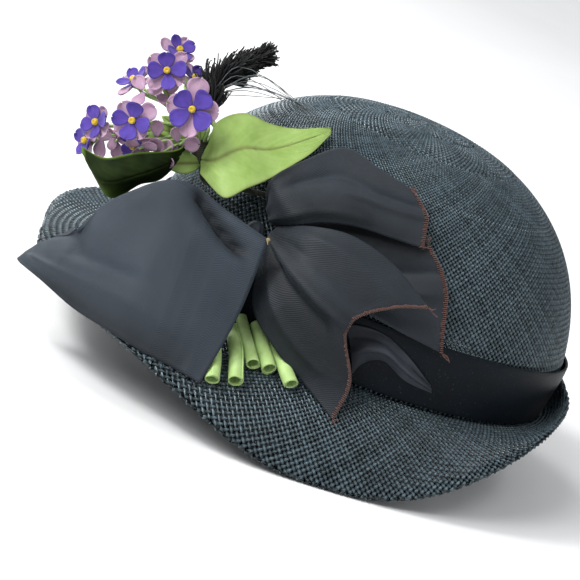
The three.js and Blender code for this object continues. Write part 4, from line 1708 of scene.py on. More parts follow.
    def knot(self, material: Material) -> None:
        """Builds the gathered knot, a soft pad with its pleats running towards the loop and the tails.

        Args:
            material: The ribbon's finish.
        """
        centre = FORM.place(self.knot_place)
        angle = float(np.arctan2(centre[0], -centre[1]))
        share, climb = share_grid(*self.knot_steps)
        turn, tilt = 2 * math.pi * share, math.pi * climb
        pleat = 1 + 0.07 * np.cos(self.knot_pleats * turn + 0.6 * np.sin(2 * tilt)) * np.sin(tilt) ** 2
        half_along, half_out, half_up = self.knot_half
        along = half_along * np.sin(tilt) * np.cos(turn) * pleat
        out = half_out * np.sin(tilt) * np.sin(turn) * pleat
        up = half_up * np.cos(tilt)
        r = float(FORM.outside(np.array(angle), centre[2])) + FORM.gap + FORM.slack + half_out
        middle = np.array([r * math.sin(angle), -r * math.cos(angle), centre[2]])
        aside = np.array([math.cos(angle), math.sin(angle), 0.0])
        away = np.array([math.sin(angle), -math.cos(angle), 0.0])
        grid = middle + along[..., None] * aside + out[..., None] * away + up[..., None] * UP
        knot = closed_grid(grid)
        # An even tone, darker than the loop's: painted shade on the gathered knot.
        knot.marks = {"tone": np.full(len(knot.corners), 0.35)}
        piece = add_piece("gathered_knot", knot, material)
        finished(piece, Slot.RIBBON, "bow_knot")


@dataclass(frozen=True)
class ClothFinish:
    """Dyed millinery cloth, mottled, with a paler or darker mark where the mesh says so; on the rolled stems
    and the yellow centres that mark is painted shade.

    Attributes:
        name: The material's name.
        dark: The darker colour of the mottling.
        light: The lighter colour.
        marked: The colour where the mark is full.
        mark: The mesh value that is read.
        grain: The scale of the cloth's grain, per metre.
        sheen: How much the nap catches the light.
        roughness: The cloth's roughness.
        gloss: How strongly its surface mirrors.
    """

    name: str
    dark: Triple
    light: Triple
    marked: Triple
    mark: str = "tone"
    grain: float = 1800.0
    sheen: float = 0.2
    roughness: float = 0.75
    gloss: float = 0.4

    def material(self) -> Material:
        """Builds the material.

        Returns:
            The material.
        """
        pen = MaterialPen(self.name)
        cloth = pen.ramp(pen.noise(140.0, 4.0), [(0.3, self.dark), (0.72, self.light)])
        grain = pen.noise(self.grain, 2.0)
        marked = pen.mix(pen.mark(self.mark), cloth, self.marked)
        pen.shade(
            Base_Color=pen.mix(pen.math("MULTIPLY", grain, 0.3), marked, self.dark),
            Roughness=self.roughness,
            Specular_IOR_Level=self.gloss,
            Normal=pen.bump(grain, 0.00012, 0.6, pen.bump(pen.noise(320.0, 3.0), 0.0003, 0.4)),
            Sheen_Weight=self.sheen,
            Sheen_Roughness=0.5,
        )
        return pen.material


PALE_LEAF_ROWS: Table = (
    ((0.92, 0.655, 0.66), (0.915, 0.755, 0.65), (0.82, 0.82, 0.56), (0.71, 0.81, 0.54), (0.57, 0.84, 0.5),
     (0.455, 0.885, 0.48)),
    ((0.92, 0.59, 0.68), (0.87, 0.635, 0.77), (0.78, 0.7, 0.73), (0.68, 0.73, 0.66), (0.56, 0.8, 0.57),
     (0.45, 0.875, 0.485)),
    ((0.9, 0.54, 0.73), (0.785, 0.53, 0.95), (0.71, 0.59, 0.89), (0.62, 0.66, 0.78), (0.52, 0.76, 0.66),
     (0.445, 0.865, 0.49)),
)
DARK_LEAF_ROWS: Table = (
    ((0.988, 0.63, 0.625), (1.05, 0.6, 0.8), (1.18, 0.55, 0.86), (1.3, 0.48, 0.87), (1.4, 0.47, 0.79)),
    ((0.988, 0.59, 0.63), (1.05, 0.54, 0.82), (1.14, 0.47, 0.89), (1.27, 0.4, 0.91), (1.39, 0.455, 0.81)),
    ((0.986, 0.55, 0.625), (1.04, 0.48, 0.77), (1.11, 0.42, 0.79), (1.22, 0.33, 0.83), (1.375, 0.44, 0.8)),
)


@dataclass
class Leaf:
    """A cloth leaf over a net, with its midrib and side veins pressed in.

    Attributes:
        name: The piece's name.
        node: The solid that it stands for.
        slot: The finish slot.
        rows: The net's lines.
        lift: How far its middle stays off the hat.
        veins: How many side veins leave the midrib.
        sweep: How far the side veins lean towards the tip.
        wall: The cloth's thickness.
        steps: The steps along and across it.
    """

    name: str
    node: str
    slot: Slot
    rows: Table
    lift: float
    veins: float
    sweep: float = 0.3
    wall: float = 0.5
    steps: tuple[int, int] = (84, 48)

    def build(self, material: Material) -> None:
        """Args:
            material: The leaf's finish.
        """
        along, across = self.steps
        grid = Net(self.rows, self.lift).grid(along, across)
        u, v = share_grid(along + 1, across + 1, -1.0)
        wander = 0.05 * np.sin(9 * u + 1.0)
        midrib = np.exp(-(((v - wander) / 0.05) ** 2))
        phase = (u - self.sweep * np.abs(v - wander) ** 1.2) * self.veins
        side = np.exp(-(((phase % 1) - 0.5) / 0.1) ** 2) * (1 - np.abs(v)) ** 0.4
        vein = np.clip(midrib + 0.55 * side, 0, 1)
        puff = 0.22 * np.cos(2 * math.pi * phase) * (1 - np.abs(v)) * np.minimum(1, np.abs(v) * 4)
        ripple = 0.5 * np.sin(17 * u + 2 * v) * np.abs(v) ** 3
        shift = -0.55 * vein - puff + ripple
        facing = grid_normals(grid)
        facing *= np.sign(np.sum(facing * np.array([1.0, -0.2, 0.4]), axis=-1, keepdims=True))
        grid = grid + facing * shift[..., None]
        edge = np.clip((np.abs(v) - 0.9) / 0.1, 0, 1)
        tip = np.exp(-(((u - 0.8) / 0.16) ** 2)) * np.clip((v - 0.1) / 0.8, 0, 1)
        ends = np.clip((np.abs(u - 0.5) - 0.44) / 0.05, 0, 1)
        rim = np.maximum.reduce([edge, ends, 0.7 * tip])
        marks = {"vein": np.clip(0.8 * midrib + 0.12 * side + 0.4 * edge, 0, 1), "rim": rim}
        piece = thickened(self.name, grid_mesh(grid, marks), material, self.wall)
        declare_sheet(piece, self.node, self.slot)


@dataclass(frozen=True)
class Bloom:
    """One violet: its place, the way it faces (fore, up, out), its size and its turn in degrees."""

    place: Triple
    facing: Triple
    size: float
    turned: float


# The number of the small leaf that leaves the foot of the binding
LOW_LEAF = 4


@dataclass
class VioletBunch:
    """Nine cloth violets on wired stems, tied together, with their small leaves and half-open buds.

    Attributes:
        radius: The violet petals' reach at size one.
        mauve_share: The mauve petals' reach as a share of it.
        cup: How far the petals curve forwards.
        bead: The radius of the yellow centre.
        stem: The stems' radius.
        neck: How far a stem runs straight behind its flower.
        seat: How far from the binding's middle the stems leave it.
        rise: How far a stem runs along the binding's axis before it turns to its flower.
        spread: How far it leans out on that way.
        sepal_drop: How far the mauve petals lie behind the violet ones.
        binding_radius: The binding's radius.
        binding_height: The binding's height.
        petal_wall: The petals' thickness.
        leaf_wall: The small leaves' thickness.
        binding: The binding's place.
        axis: Its direction.
        leaf_facing: The way that the small leaves face.
        wires: How many wires leave the binding, with wire_steps points each and wire as their radius.
        wire_turns: How often the wires are twisted round each other.
        wound_turns: How often the binding is wound.
        flower_seed: What the flowers' numbers are added to for the seeds of their unevenness.
        first_bud: The number of the first bud.
        blooms: The nine flowers.
        buds: The half-open ones.
        leaf_tips: The places and widths of the small leaves' tips.
        wire_route: The places that the wires pass on their way to the crown.
    """

    radius: float = 7.8
    mauve_share: float = 1.35
    cup: float = 1.8
    bead: float = 1.9
    stem: float = 0.75
    neck: float = 5.0
    seat: float = 2.9
    rise: float = 5.0
    spread: float = 4.0
    sepal_drop: float = 1.5
    binding_radius: float = 4.2
    binding_height: float = 11.0
    petal_wall: float = 0.35
    leaf_wall: float = 0.4
    wound_turns: int = 11
    wires: int = 3
    wire: float = 0.55
    wire_steps: int = 90
    wire_turns: int = 9
    flower_seed: int = 40
    first_bud: int = 20
    leaf_facing: Triple = (0.9, -0.1, 0.35)
    binding: Triple = (0.93, 0.6, 0.6)
    axis: Triple = (-0.15, -0.45, 1.0)
    blooms: tuple[Bloom, ...] = (
        Bloom((1.04, 0.79, 0.8), (0.25, 0.1, 1), 1.2, 47),
        Bloom((1.25, 0.66, 0.84), (0.3, 0.15, 1), 1.0, 83),
        Bloom((1.38, 0.575, 0.72), (0.8, 0.1, 0.75), 0.9, -10),
        Bloom((1.39, 0.45, 0.52), (0.9, -0.25, 0.6), 0.85, 30),
        Bloom((1.297, 0.748, 0.43), (0.7, 0.55, 0.35), 0.85, 0),
        Bloom((1.19, 0.87, 0.63), (0.2, 0.35, 1), 1.0, 14),
        Bloom((1.17, 0.94, 0.45), (-0.1, 0.8, 0.7), 0.8, 40),
        Bloom((1.06, 0.83, 0.28), (-0.2, 0.6, 0.4), 0.75, 5),
        Bloom((1.2, 0.54, 0.7), (0.3, -0.5, 0.8), 0.8, 25),
    )
    buds: tuple[Bloom, ...] = (
        Bloom((1.13, 0.6, 0.72), (0.2, -0.1, 1), 0.85, 10),
        Bloom((1.03, 0.62, 0.72), (-0.3, 0.2, 1), 0.8, 60),
        Bloom((1.25, 0.76, 0.62), (0.5, 0.5, 0.7), 0.8, 30),
        Bloom((1.14, 0.78, 0.62), (0.2, 0.6, 0.8), 0.7, 0),
        Bloom((1.3, 0.53, 0.62), (0.6, -0.1, 0.8), 0.75, 45),
        Bloom((1.1, 0.555, 0.8), (0.1, -0.4, 1), 0.8, 20),
        Bloom((1.34, 0.49, 0.56), (0.5, -0.4, 0.8), 0.9, 30),
        Bloom((1.28, 0.51, 0.62), (0.2, -0.3, 0.9), 0.85, 75),
        Bloom((1.18, 0.56, 0.82), (0.0, -0.5, 1), 0.75, 70),
    )
    leaf_tips: tuple[tuple[Triple, float], ...] = (
        ((1.14, 0.69, 0.66), 7),
        ((1.17, 0.63, 0.64), 6),
        ((1.19, 0.8, 0.55), 6.5),
        ((1.04, 0.88, 0.5), 6),
        ((1.06, 0.52, 0.74), 9),
        ((1.3, 0.56, 0.55), 8),
        ((1.24, 0.52, 0.62), 9),
        ((1.1, 0.55, 0.72), 8),
    )
    wire_route: tuple[Triple, ...] = (
        (0.87, 0.5, 0.62),
        (0.78, 0.52, 0.64),
        (0.6, 0.55, 0.66),
    )

    def tied_at(self) -> tuple[Array, Array, Array, Array]:
        """The binding's middle, its axis and the two directions across it.

        Returns:
            The four vectors.
        """
        axis = unit(np.array(self.axis))
        side = unit(np.array([1.0, 0, 0]) - axis[0] * axis)
        return FORM.place(self.binding), axis, side, np.cross(axis, side)

    def petal(
        self, length: float, width: float, cup: float, curl: float, turn: float, tip: float
    ) -> MeshData:
        """One petal in the flower's own frame, from its narrow foot to its round end.

        Args:
            length: How far it reaches.
            width: Its full width.
            cup: How far its end comes forwards.
            curl: How far its sides come forwards.
            turn: Its direction, in radians.
            tip: How deep the notch at its end is, as a share.

        Returns:
            The petal's surface.
        """
        s, t = np.meshgrid(np.sin(np.linspace(0, math.pi / 2, 13)), np.linspace(-1, 1, 9), indexing="ij")
        widest = 0.66
        foot = 0.26 + 0.74 * np.sin(np.clip(s / widest, 0, 1) * math.pi / 2) ** 1.4
        round_end = np.sqrt(np.clip(1 - (np.clip(s - widest, 0, 1) / (1 - widest)) ** 2, 0.004, 1))
        shape = foot * round_end
        reach = length * (0.1 + 0.9 * s) * (1 - tip * (1 - np.abs(t)) * s**4)
        aside = width / 2 * shape * t
        height = cup * s**2 + curl * t**2 * s - 0.35 * np.exp(-((t / 0.18) ** 2)) * s * (1 - s) * 2
        height = height + 0.25 * np.sin(5 * t + 3 * s) * s
        x = reach * math.cos(turn) - aside * math.sin(turn)
        y = reach * math.sin(turn) + aside * math.cos(turn)
        grid = np.stack([x, y, height], axis=-1)
        streak = np.clip(0.75 - 1.3 * s, 0, 1) * (0.5 + 0.5 * np.cos(9 * t)) + 0.15 * np.sin(14 * t) * s
        return grid_mesh(grid, {"tone": np.clip(streak, 0, 1)})

    def flower(self, bloom: Bloom, number: int, count: int = 4) -> dict[str, MeshData]:
        """The petals of one violet in its own frame.

        Args:
            bloom: Its size and its turn.
            number: Its number, which sets its unevenness.
            count: How many petals it has of each kind.

        Returns:
            The violet and the mauve petals, by the ends of their names.
        """
        random = np.random.default_rng(self.flower_seed + number)
        radius = self.radius * bloom.size
        front, back = [], []
        for k in range(count):
            turn = math.radians(bloom.turned) + 2 * math.pi * k / count
            vary = random.uniform(0.88, 1.1, 4)
            front.append(self.petal(radius * vary[0], radius * 0.9 * vary[1], self.cup * vary[2],
                                    0.9 * vary[3], turn + random.uniform(-0.12, 0.12), 0.03))
            vary = random.uniform(0.78, 1.06, 4)
            far = radius * self.mauve_share
            petal = self.petal(far * vary[0], far * 0.74 * vary[1], self.cup * 0.4 * vary[2], 1.1 * vary[3],
                               turn + math.pi / count + random.uniform(-0.15, 0.15), 0.08)
            petal.corners[:, 2] -= self.sepal_drop - 0.25 * (k % 2)
            back.append(petal)
        for k, one in enumerate(front):
            one.corners[:, 2] += 0.3 * (k % 2)
        return {"petals": joined(front), "back_petals": joined(back)}

    def centre(self) -> MeshData:
        """The domed yellow centre, dimpled at its top, with painted shade in the dimple.

        Returns:
            Its surface.
        """
        s, a = np.meshgrid(np.linspace(0.02, 1, 8), np.linspace(0, 2 * math.pi, 15), indexing="ij")
        r = self.bead * 0.8 * np.sin(s * math.pi * 0.62)
        z = self.bead * (0.45 + 0.85 * np.cos(s * math.pi * 0.62)) - 0.8 * np.exp(-((s / 0.25) ** 2))
        # The tone darkens it towards its middle: painted shade in the dimple.
        return grid_mesh(np.stack([r * np.cos(a), r * np.sin(a), z], axis=-1), {"tone": 1 - s})

    def calyx(self) -> MeshData:
        """The small green cup behind the petals.

        Returns:
            Its surface.
        """
        s, a = np.meshgrid(np.linspace(0, 1, 6), np.linspace(0, 2 * math.pi, 21), indexing="ij")
        points = 1 + 0.5 * np.cos(5 * a) * s**2
        r = self.stem + (2.6 - self.stem) * s**0.8 * points
        z = -self.sepal_drop - 0.6 - 3.2 * (1 - s) ** 1.3
        return grid_mesh(np.stack([r * np.cos(a), r * np.sin(a), z], axis=-1)[::-1], {"tone": 0.6 * s[::-1]})

    def turned(self, data: MeshData, bloom: Bloom) -> MeshData:
        """A mesh of the flower's own frame, set in its place.

        Args:
            data: The mesh.
            bloom: Where the flower sits and how it faces.

        Returns:
            The mesh in the hat's own frame.
        """
        fore, up, out = bloom.facing
        turn = Vector((0, 0, 1)).rotation_difference(Vector((out, -fore, up)).normalized()).to_matrix()
        placed = data.corners @ np.array(turn).T + FORM.place(bloom.place)
        return MeshData(placed, data.faces, data.uv, data.marks)

    def stem_lines(self) -> list[Array]:
        """The stems' lines, seated round the binding in the order in which they leave it.

        Returns:
            One line of points for each flower.
        """
        middle, axis, side, other = self.tied_at()
        ways = [FORM.place(bloom.place) - middle for bloom in self.blooms]
        leaving = [math.atan2(way @ other, way @ side) for way in ways]
        first = sum(one < leaving[0] for one in leaving)
        lines = []
        for bloom, turn in zip(self.blooms, leaving):
            seat_turn = leaving[0] + 2 * math.pi * (sum(one < turn for one in leaving) - first) / len(leaving)
            out = side * math.cos(seat_turn) + other * math.sin(seat_turn)
            seat = middle + axis * (self.binding_height / 2 - 1) + out * self.seat
            fore, up, beside = bloom.facing
            facing = unit(np.array([beside, -fore, up]))
            top = FORM.place(bloom.place) - facing * (self.sepal_drop + 1.0)
            knots = [seat, seat + axis * (self.rise + 1) + out * self.spread, top - facing * self.neck, top]
            lines.append(reading(np.array(knots), 22))
        return lines

    def small_leaf(self, foot: Array, tip: Array, width: float, facing: Array) -> MeshData:
        """A small pointed leaf from foot to tip.

        Args:
            foot: Where it starts.
            tip: Where it ends.
            width: Its width.
            facing: The way that it faces.

        Returns:
            The leaf's surface.
        """
        s, t = share_grid(16, 9, -1.0)
        way, aside = tip - foot, unit(np.cross(tip - foot, facing))
        half = width / 2 * np.sin(math.pi * s**0.85) ** 0.8 + 0.15
        lift = 1.2 * np.sin(math.pi * s) + 0.9 * np.abs(t) * np.sin(math.pi * s)
        grid = foot + way * s[..., None] + aside * (half * t)[..., None] + facing * lift[..., None]
        return grid_mesh(grid, {"vein": np.exp(-((t / 0.15) ** 2)), "rim": 0 * t})

    def build(self, finishes: dict[Slot, Material]) -> None:
        """Builds the bunch.

        Args:
            finishes: The materials by their slots.
        """
        stems = self.stem_lines()
        for number, (bloom, line) in enumerate(zip(self.blooms, stems), start=1):
            tag = f"violet_{number}"
            parts = self.flower(bloom, number)
            for part, slot in (("petals", Slot.VIOLET), ("back_petals", Slot.MAUVE)):
                placed = self.turned(parts[part], bloom)
                piece = thickened(f"cloth_{tag}_{part}", placed, finishes[slot], self.petal_wall)
                finished(piece, slot, f"{tag}_{part}")
            bead = add_piece(f"cloth_{tag}_centre", self.turned(self.centre(), bloom), finishes[Slot.BEAD])
            finished(bead, Slot.BEAD, f"{tag}_bead")
            calyx = add_piece(f"cloth_{tag}_calyx", self.turned(self.calyx(), bloom), finishes[Slot.STEM])
            finished(calyx, Slot.STEM)
            run = [round_strand(line, self.stem)]
            stem = strand_piece(f"cloth_{tag}_stem", run, finishes[Slot.STEM], 1.0, 8)
            finished(stem, Slot.STEM, f"{tag}_stem")
        self.fillers(finishes)
        self.tie(finishes)

    def fillers(self, finishes: dict[Slot, Material]) -> None:
        """The half-open buds and the small leaves between the flowers.

        Args:
            finishes: The materials by their slots.
        """
        middle, axis, _, _ = self.tied_at()
        neck = middle + axis * (self.binding_height / 2 - 1)
        petals, stems = [], []
        for number, bud in enumerate(self.buds, start=self.first_bud):
            petals.append(self.turned(self.flower(bud, number, 3)["back_petals"], bud))
            top = FORM.place(bud.place)
            knots = np.array([neck, (neck + top) / 2 + axis * 2, top])
            stems.append(round_strand(reading(knots, 14), self.stem * 0.8))
        mauve = thickened("cloth_buds", joined(petals), finishes[Slot.MAUVE], self.petal_wall)
        finished(mauve, Slot.MAUVE)
        finished(strand_piece("bud_stems", stems, finishes[Slot.STEM], 1.0, 7), Slot.STEM)
        out = np.array(self.leaf_facing)
        feet = [neck] * len(self.leaf_tips)
        feet[LOW_LEAF] = middle - axis * 5 + out * 3
        leaves = [
            self.small_leaf(foot, FORM.place(tip), width, out)
            for foot, (tip, width) in zip(feet, self.leaf_tips)
        ]
        leaf = thickened("small_leaves", joined(leaves), finishes[Slot.PALE_LEAF], self.leaf_wall)
        finished(leaf, Slot.PALE_LEAF)

    def tie(self, finishes: dict[Slot, Material]) -> None:
        """The wound binding and the twisted wires that hold the bunch to the crown.

        Args:
            finishes: The materials by their slots.
        """
        middle, axis, side, other = self.tied_at()
        steps = self.wound_turns * 14
        turn = np.linspace(0, self.wound_turns * 2 * math.pi, steps)[:, None]
        rise = np.linspace(-0.5, 0.5, steps)[:, None] * (self.binding_height - 1)
        radius = self.binding_radius - 0.6
        coil = middle + axis * rise + (side * np.cos(turn) + other * np.sin(turn)) * radius
        half = axis * self.binding_height / 2
        core = reading(np.stack([middle - half, middle + half]), 5)
        winding = [round_strand(coil, 0.58, 0.4), round_strand(core, radius * 0.98, 0.2)]
        binding = strand_piece("wound_binding", winding, finishes[Slot.WIRE], 1.0, 10)
        finished(binding, Slot.WIRE, "bunch_binding")
        foot = middle - axis * (self.binding_height / 2 - 1)
        low, high, last = FORM.place(self.wire_route)
        last = FORM.rest_on(last, 1.3)
        route = reading(np.array([foot, low, high, last]), self.wire_steps)
        aside = across_line(route)
        beside = np.cross(unit(np.gradient(route, axis=0)), aside)
        wires = []
        turning = np.linspace(0, self.wire_turns * 2 * math.pi, self.wire_steps)[:, None]
        for k in range(self.wires):
            twist = turning + 2 * math.pi * k / self.wires
            away = (aside * np.cos(twist) + beside * np.sin(twist)) * 0.85
            wires.append(round_strand(route + away, self.wire, 0.3 * k))
        finished(strand_piece("twisted_wires", wires, finishes[Slot.WIRE], 1.0, 7), Slot.WIRE, "bunch_wires")


@dataclass
class CutStems:
    """The rolled cloth stems whose open ends show below the bow.

    Attributes:
        radius: A roll's outer radius.
        turns: How far the cloth is rolled, in full turns.
        wall: The cloth's thickness.
        steps: The steps along a stem and round it.
        runs: Where each stem starts and where its open end lies.
    """

    radius: float = 3.2
    turns: float = 1.22
    wall: float = 0.45
    steps: tuple[int, int] = (26, 34)
    runs: tuple[tuple[Triple, Triple], ...] = (
        ((0.612, 0, 1.134), (0.581, -0.096, 1.39)),
        ((0.554, 0.027, 0.93), (0.485, -0.079, 1.333)),
        ((0.52, 0.075, 0.89), (0.43, -0.022, 1.193)),
        ((0.455, 0.08, 0.926), (0.36, -0.02, 1.18)),
        ((0.385, 0.06, 0.953), (0.255, -0.039, 1.208)),
    )

    def roll(self, start: Sequence[float], end: Sequence[float], number: int) -> Array:
        """One rolled stem's cloth, as a grid of points.

        Args:
            start: Where it starts.
            end: Where its open end lies.
            number: Its number, which turns the roll.

        Returns:
            The grid's points.
        """
        a, b = FORM.place(start), FORM.place(end)
        lift = self.radius + FORM.gap + 2 * FORM.slack
        rows, columns = self.steps
        line = reading(FORM.rest_on(np.stack([a, a + (b - a) * 0.55, b]), lift), rows)
        way = unit(np.gradient(line, axis=0))
        up = unit(np.cross(way, np.cross(np.array([0.25, 0.0, 1.0]), way)))
        aside = np.cross(way, up)
        share = np.linspace(0, 1, columns)[None, :, None]
        around = self.turns * 2 * math.pi * share + 1.1 * number
        radius = self.radius * (1 - 0.24 * share)
        squeeze = 1 - 0.16 * np.linspace(1, 0, rows)[:, None, None] ** 2
        flat = 0.86 if number % 2 else 1.0
        dent = 1 - 0.1 * np.exp(-((np.sin((around - 0.9 * number) / 2)) / 0.22) ** 2)
        return line[:, None] + dent * squeeze * radius * (
            up[:, None] * np.sin(around) * flat + aside[:, None] * np.cos(around)
        )

    def build(self, material: Material) -> None:
        """Builds the stems.

        Args:
            material: The stems' finish.
        """
        for number, (start, end) in enumerate(self.runs, start=1):
            grid = self.roll(start, end, number)
            # Darker towards the open end: painted shade inside the roll's mouth.
            fade = np.broadcast_to(np.linspace(0.0, 0.5, grid.shape[0])[:, None] ** 2, grid.shape[:2])
            data = grid_mesh(grid, {"tone": fade})
            piece = thickened(f"rolled_stem_{number}", data, material, self.wall)
            declare_sheet(piece, f"cut_stem_{number}", Slot.STEM)


@dataclass
class Plume:
    """The black plume with curled barbs, and the thin grey wisps behind it.

    Attributes:
        barbs: How many barbs leave the quill on each side.
        length: A barb's length at the plume's foot.
        quill: The quill's radius.
        quill_steps: The points along the quill.
        bare: The share of the quill that carries no barbs.
        locks: How many locks the barbs are gathered to.
        barb_radius: A barb's radius at its foot.
        wisp_count: How many wisps there are.
        wisp_foot: The point of the quill that they leave.
        barb_seed: The seed of the barbs' unevenness, with wisp_seed for the wisps.
        spine: The quill's places.
    """

    barbs: int = 700
    length: float = 8.6
    quill: float = 0.7
    quill_steps: int = 80
    bare: float = 0.22
    locks: int = 13
    barb_radius: float = 0.46
    wisp_count: int = 11
    wisp_foot: int = 26
    barb_seed: int = 5
    wisp_seed: int = 9
    spine: Table = ((0.94, 0.74, 0.47), (0.98, 0.84, 0.35), (0.931, 0.905, 0.3), (0.878, 0.965, 0.252),
                    (0.8, 1.035, 0.206))

    def barb_lines(self, quill: Array) -> list[Strand]:
        """The barbs along the quill, gathered to locks and curled at their ends.

        Args:
            quill: The quill's points.

        Returns:
            The barbs.
        """
        random = np.random.default_rng(self.barb_seed)
        way = unit(np.gradient(quill, axis=0))
        strands = []
        for _ in range(self.barbs * 2):
            share = random.uniform(self.bare, 1.0) ** 0.92
            k = min(int(share * (len(quill) - 1)), len(quill) - 2)
            lock = round(share * self.locks) / self.locks
            turn = random.uniform(0, 2 * math.pi)
            aside = unit(np.cross(way[k], np.array([math.cos(turn), math.sin(turn), 0.35])))
            length = self.length * (1.12 - 0.5 * share) * random.uniform(0.7, 1.1)
            length *= 1.0 + 0.25 * math.sin(lock * 37)
            steps = np.linspace(0, 1, 6)[:, None]
            lean = 0.25 + 0.55 * abs(math.sin(lock * 21))
            bend = unit(np.cross(aside, way[k])) * random.uniform(-0.3, 0.3)
            curl = 1.6 + random.uniform(-0.3, 0.7)
            forward = way[k] * (lean * steps + 0.42 * (1 - np.cos(curl * steps * 2)))
            outward = aside * (np.sin(curl * steps) / curl * 1.35)
            points = quill[k] + length * (outward + forward * 0.62 + bend * steps**2)
            radius = self.barb_radius - 0.2 * steps[:, 0]
            strands.append(round_strand(points, radius, float(random.random())))
        return strands

    def wisps(self, foot: Array) -> list[Strand]:
        """The thin curved wisps beside the plume.

        Args:
            foot: Where they start.

        Returns:
            The wisps.
        """
        random = np.random.default_rng(self.wisp_seed)
        strands = []
        for _ in range(self.wisp_count):
            reach = random.uniform(0.55, 1.0)
            high = FORM.place((0.86 + random.uniform(-0.05, 0.05), 0.86 + 0.1 * random.random(), 0.36))
            far = FORM.place((0.86 - 0.34 * reach, 0.93 - 0.06 * random.random(), 0.34))
            end = far + np.array([random.uniform(-2, 2), 5.0, -2.5 - 3 * random.random()])
            way = reading(np.array([foot, high, far, end]), 16)
            strands.append(round_strand(way, np.linspace(0.26, 0.1, 16), float(random.random())))
        return strands

    def build(self, feather: Material, grey: Material) -> None:
        """Builds the plume and the wisps.

        Args:
            feather: The plume's finish.
            grey: The wisps' finish.
        """
        bunch = VioletBunch()
        middle, axis, _, _ = bunch.tied_at()
        seat = middle + axis * (bunch.binding_height / 2 + 0.75)
        quill = reading(np.concatenate([seat[None], FORM.place(self.spine)]), self.quill_steps)
        shaft = round_strand(quill, np.linspace(self.quill, self.quill * 0.4, self.quill_steps), 0.2)
        plume = strand_piece("feather_plume", [shaft, *self.barb_lines(quill)], feather, 1.0, 3)
        finished(plume, Slot.FEATHER, "plume")
        finished(strand_piece("feather_wisps", self.wisps(quill[self.wisp_foot]), grey, 1.0, 3), Slot.FEATHER)


# The finish of every slot
FINISHES: dict[Slot, StrawFinish | SatinFinish | FailleFinish | ClothFinish] = {
    Slot.STRAW: StrawFinish(),
    Slot.SATIN: SatinFinish(),
    Slot.RIBBON: FailleFinish(),
    Slot.PALE_LEAF: ClothFinish(
        "pale_leaf_cloth", (0.215, 0.33, 0.075), (0.3, 0.425, 0.13), (0.12, 0.1, 0.03),
        mark="vein", roughness=0.5, sheen=0.05, gloss=0.22,
    ),
    Slot.DARK_LEAF: ClothFinish(
        "dark_leaf_cloth", (0.004, 0.009, 0.0012), (0.014, 0.026, 0.004), (0.12, 0.2, 0.03),
        mark="rim", roughness=0.7, sheen=0.0, gloss=0.1,
    ),
    Slot.WIRE: ClothFinish(
        "cloth_covered_wire", (0.01, 0.012, 0.006), (0.035, 0.04, 0.02), (0.05, 0.055, 0.03),
        roughness=0.7,
    ),
    Slot.FEATHER: ClothFinish(
        "black_feather", (0.001, 0.0011, 0.0014), (0.003, 0.0034, 0.004), (0.006, 0.0065, 0.008),
        roughness=0.6, sheen=0.0,
    ),
    Slot.STEM: ClothFinish(
        "rolled_stem_cloth", (0.36, 0.52, 0.17), (0.56, 0.78, 0.32), (0.08, 0.14, 0.03),
        roughness=0.6, sheen=0.05,
    ),
    Slot.MAUVE: ClothFinish(
        "mauve_cloth", (0.34, 0.19, 0.3), (0.52, 0.36, 0.46), (0.22, 0.08, 0.25),
    ),
    Slot.VIOLET: ClothFinish(
        "violet_velvet", (0.045, 0.02, 0.22), (0.095, 0.05, 0.4), (0.015, 0.006, 0.07),
        sheen=0.25,
    ),
    Slot.BEAD: ClothFinish(
        "yellow_centre", (0.7, 0.5, 0.012), (0.85, 0.68, 0.03), (0.35, 0.2, 0.01),
        sheen=0.0, roughness=0.4,
    ),
}
# The band's fold in a lighter copy of the satin: a painted highlight where the light catches the fold.
HIGHLIT_FOLD_SATIN = SatinFinish("highlit_fold_satin", (0.024, 0.027, 0.033))
OVERLOCK_THREAD = ClothFinish(
    "overlock_thread", (0.05, 0.018, 0.012), (0.14, 0.055, 0.04), (0.09, 0.035, 0.025)
)
PALE_THREAD = ClothFinish("pale_thread", (0.3, 0.22, 0.08), (0.5, 0.4, 0.18), (0.2, 0.15, 0.06))
GREY_WISPS = ClothFinish("grey_wisps", (0.05, 0.06, 0.065), (0.16, 0.18, 0.19), (0.1, 0.12, 0.12))
LEAVES = (
    Leaf("pale_cloth_leaf", "pale_leaf", Slot.PALE_LEAF, PALE_LEAF_ROWS, layer(2), veins=9.0),
    Leaf("dark_cloth_leaf", "dark_leaf", Slot.DARK_LEAF, DARK_LEAF_ROWS, layer(0), veins=6.0),
)


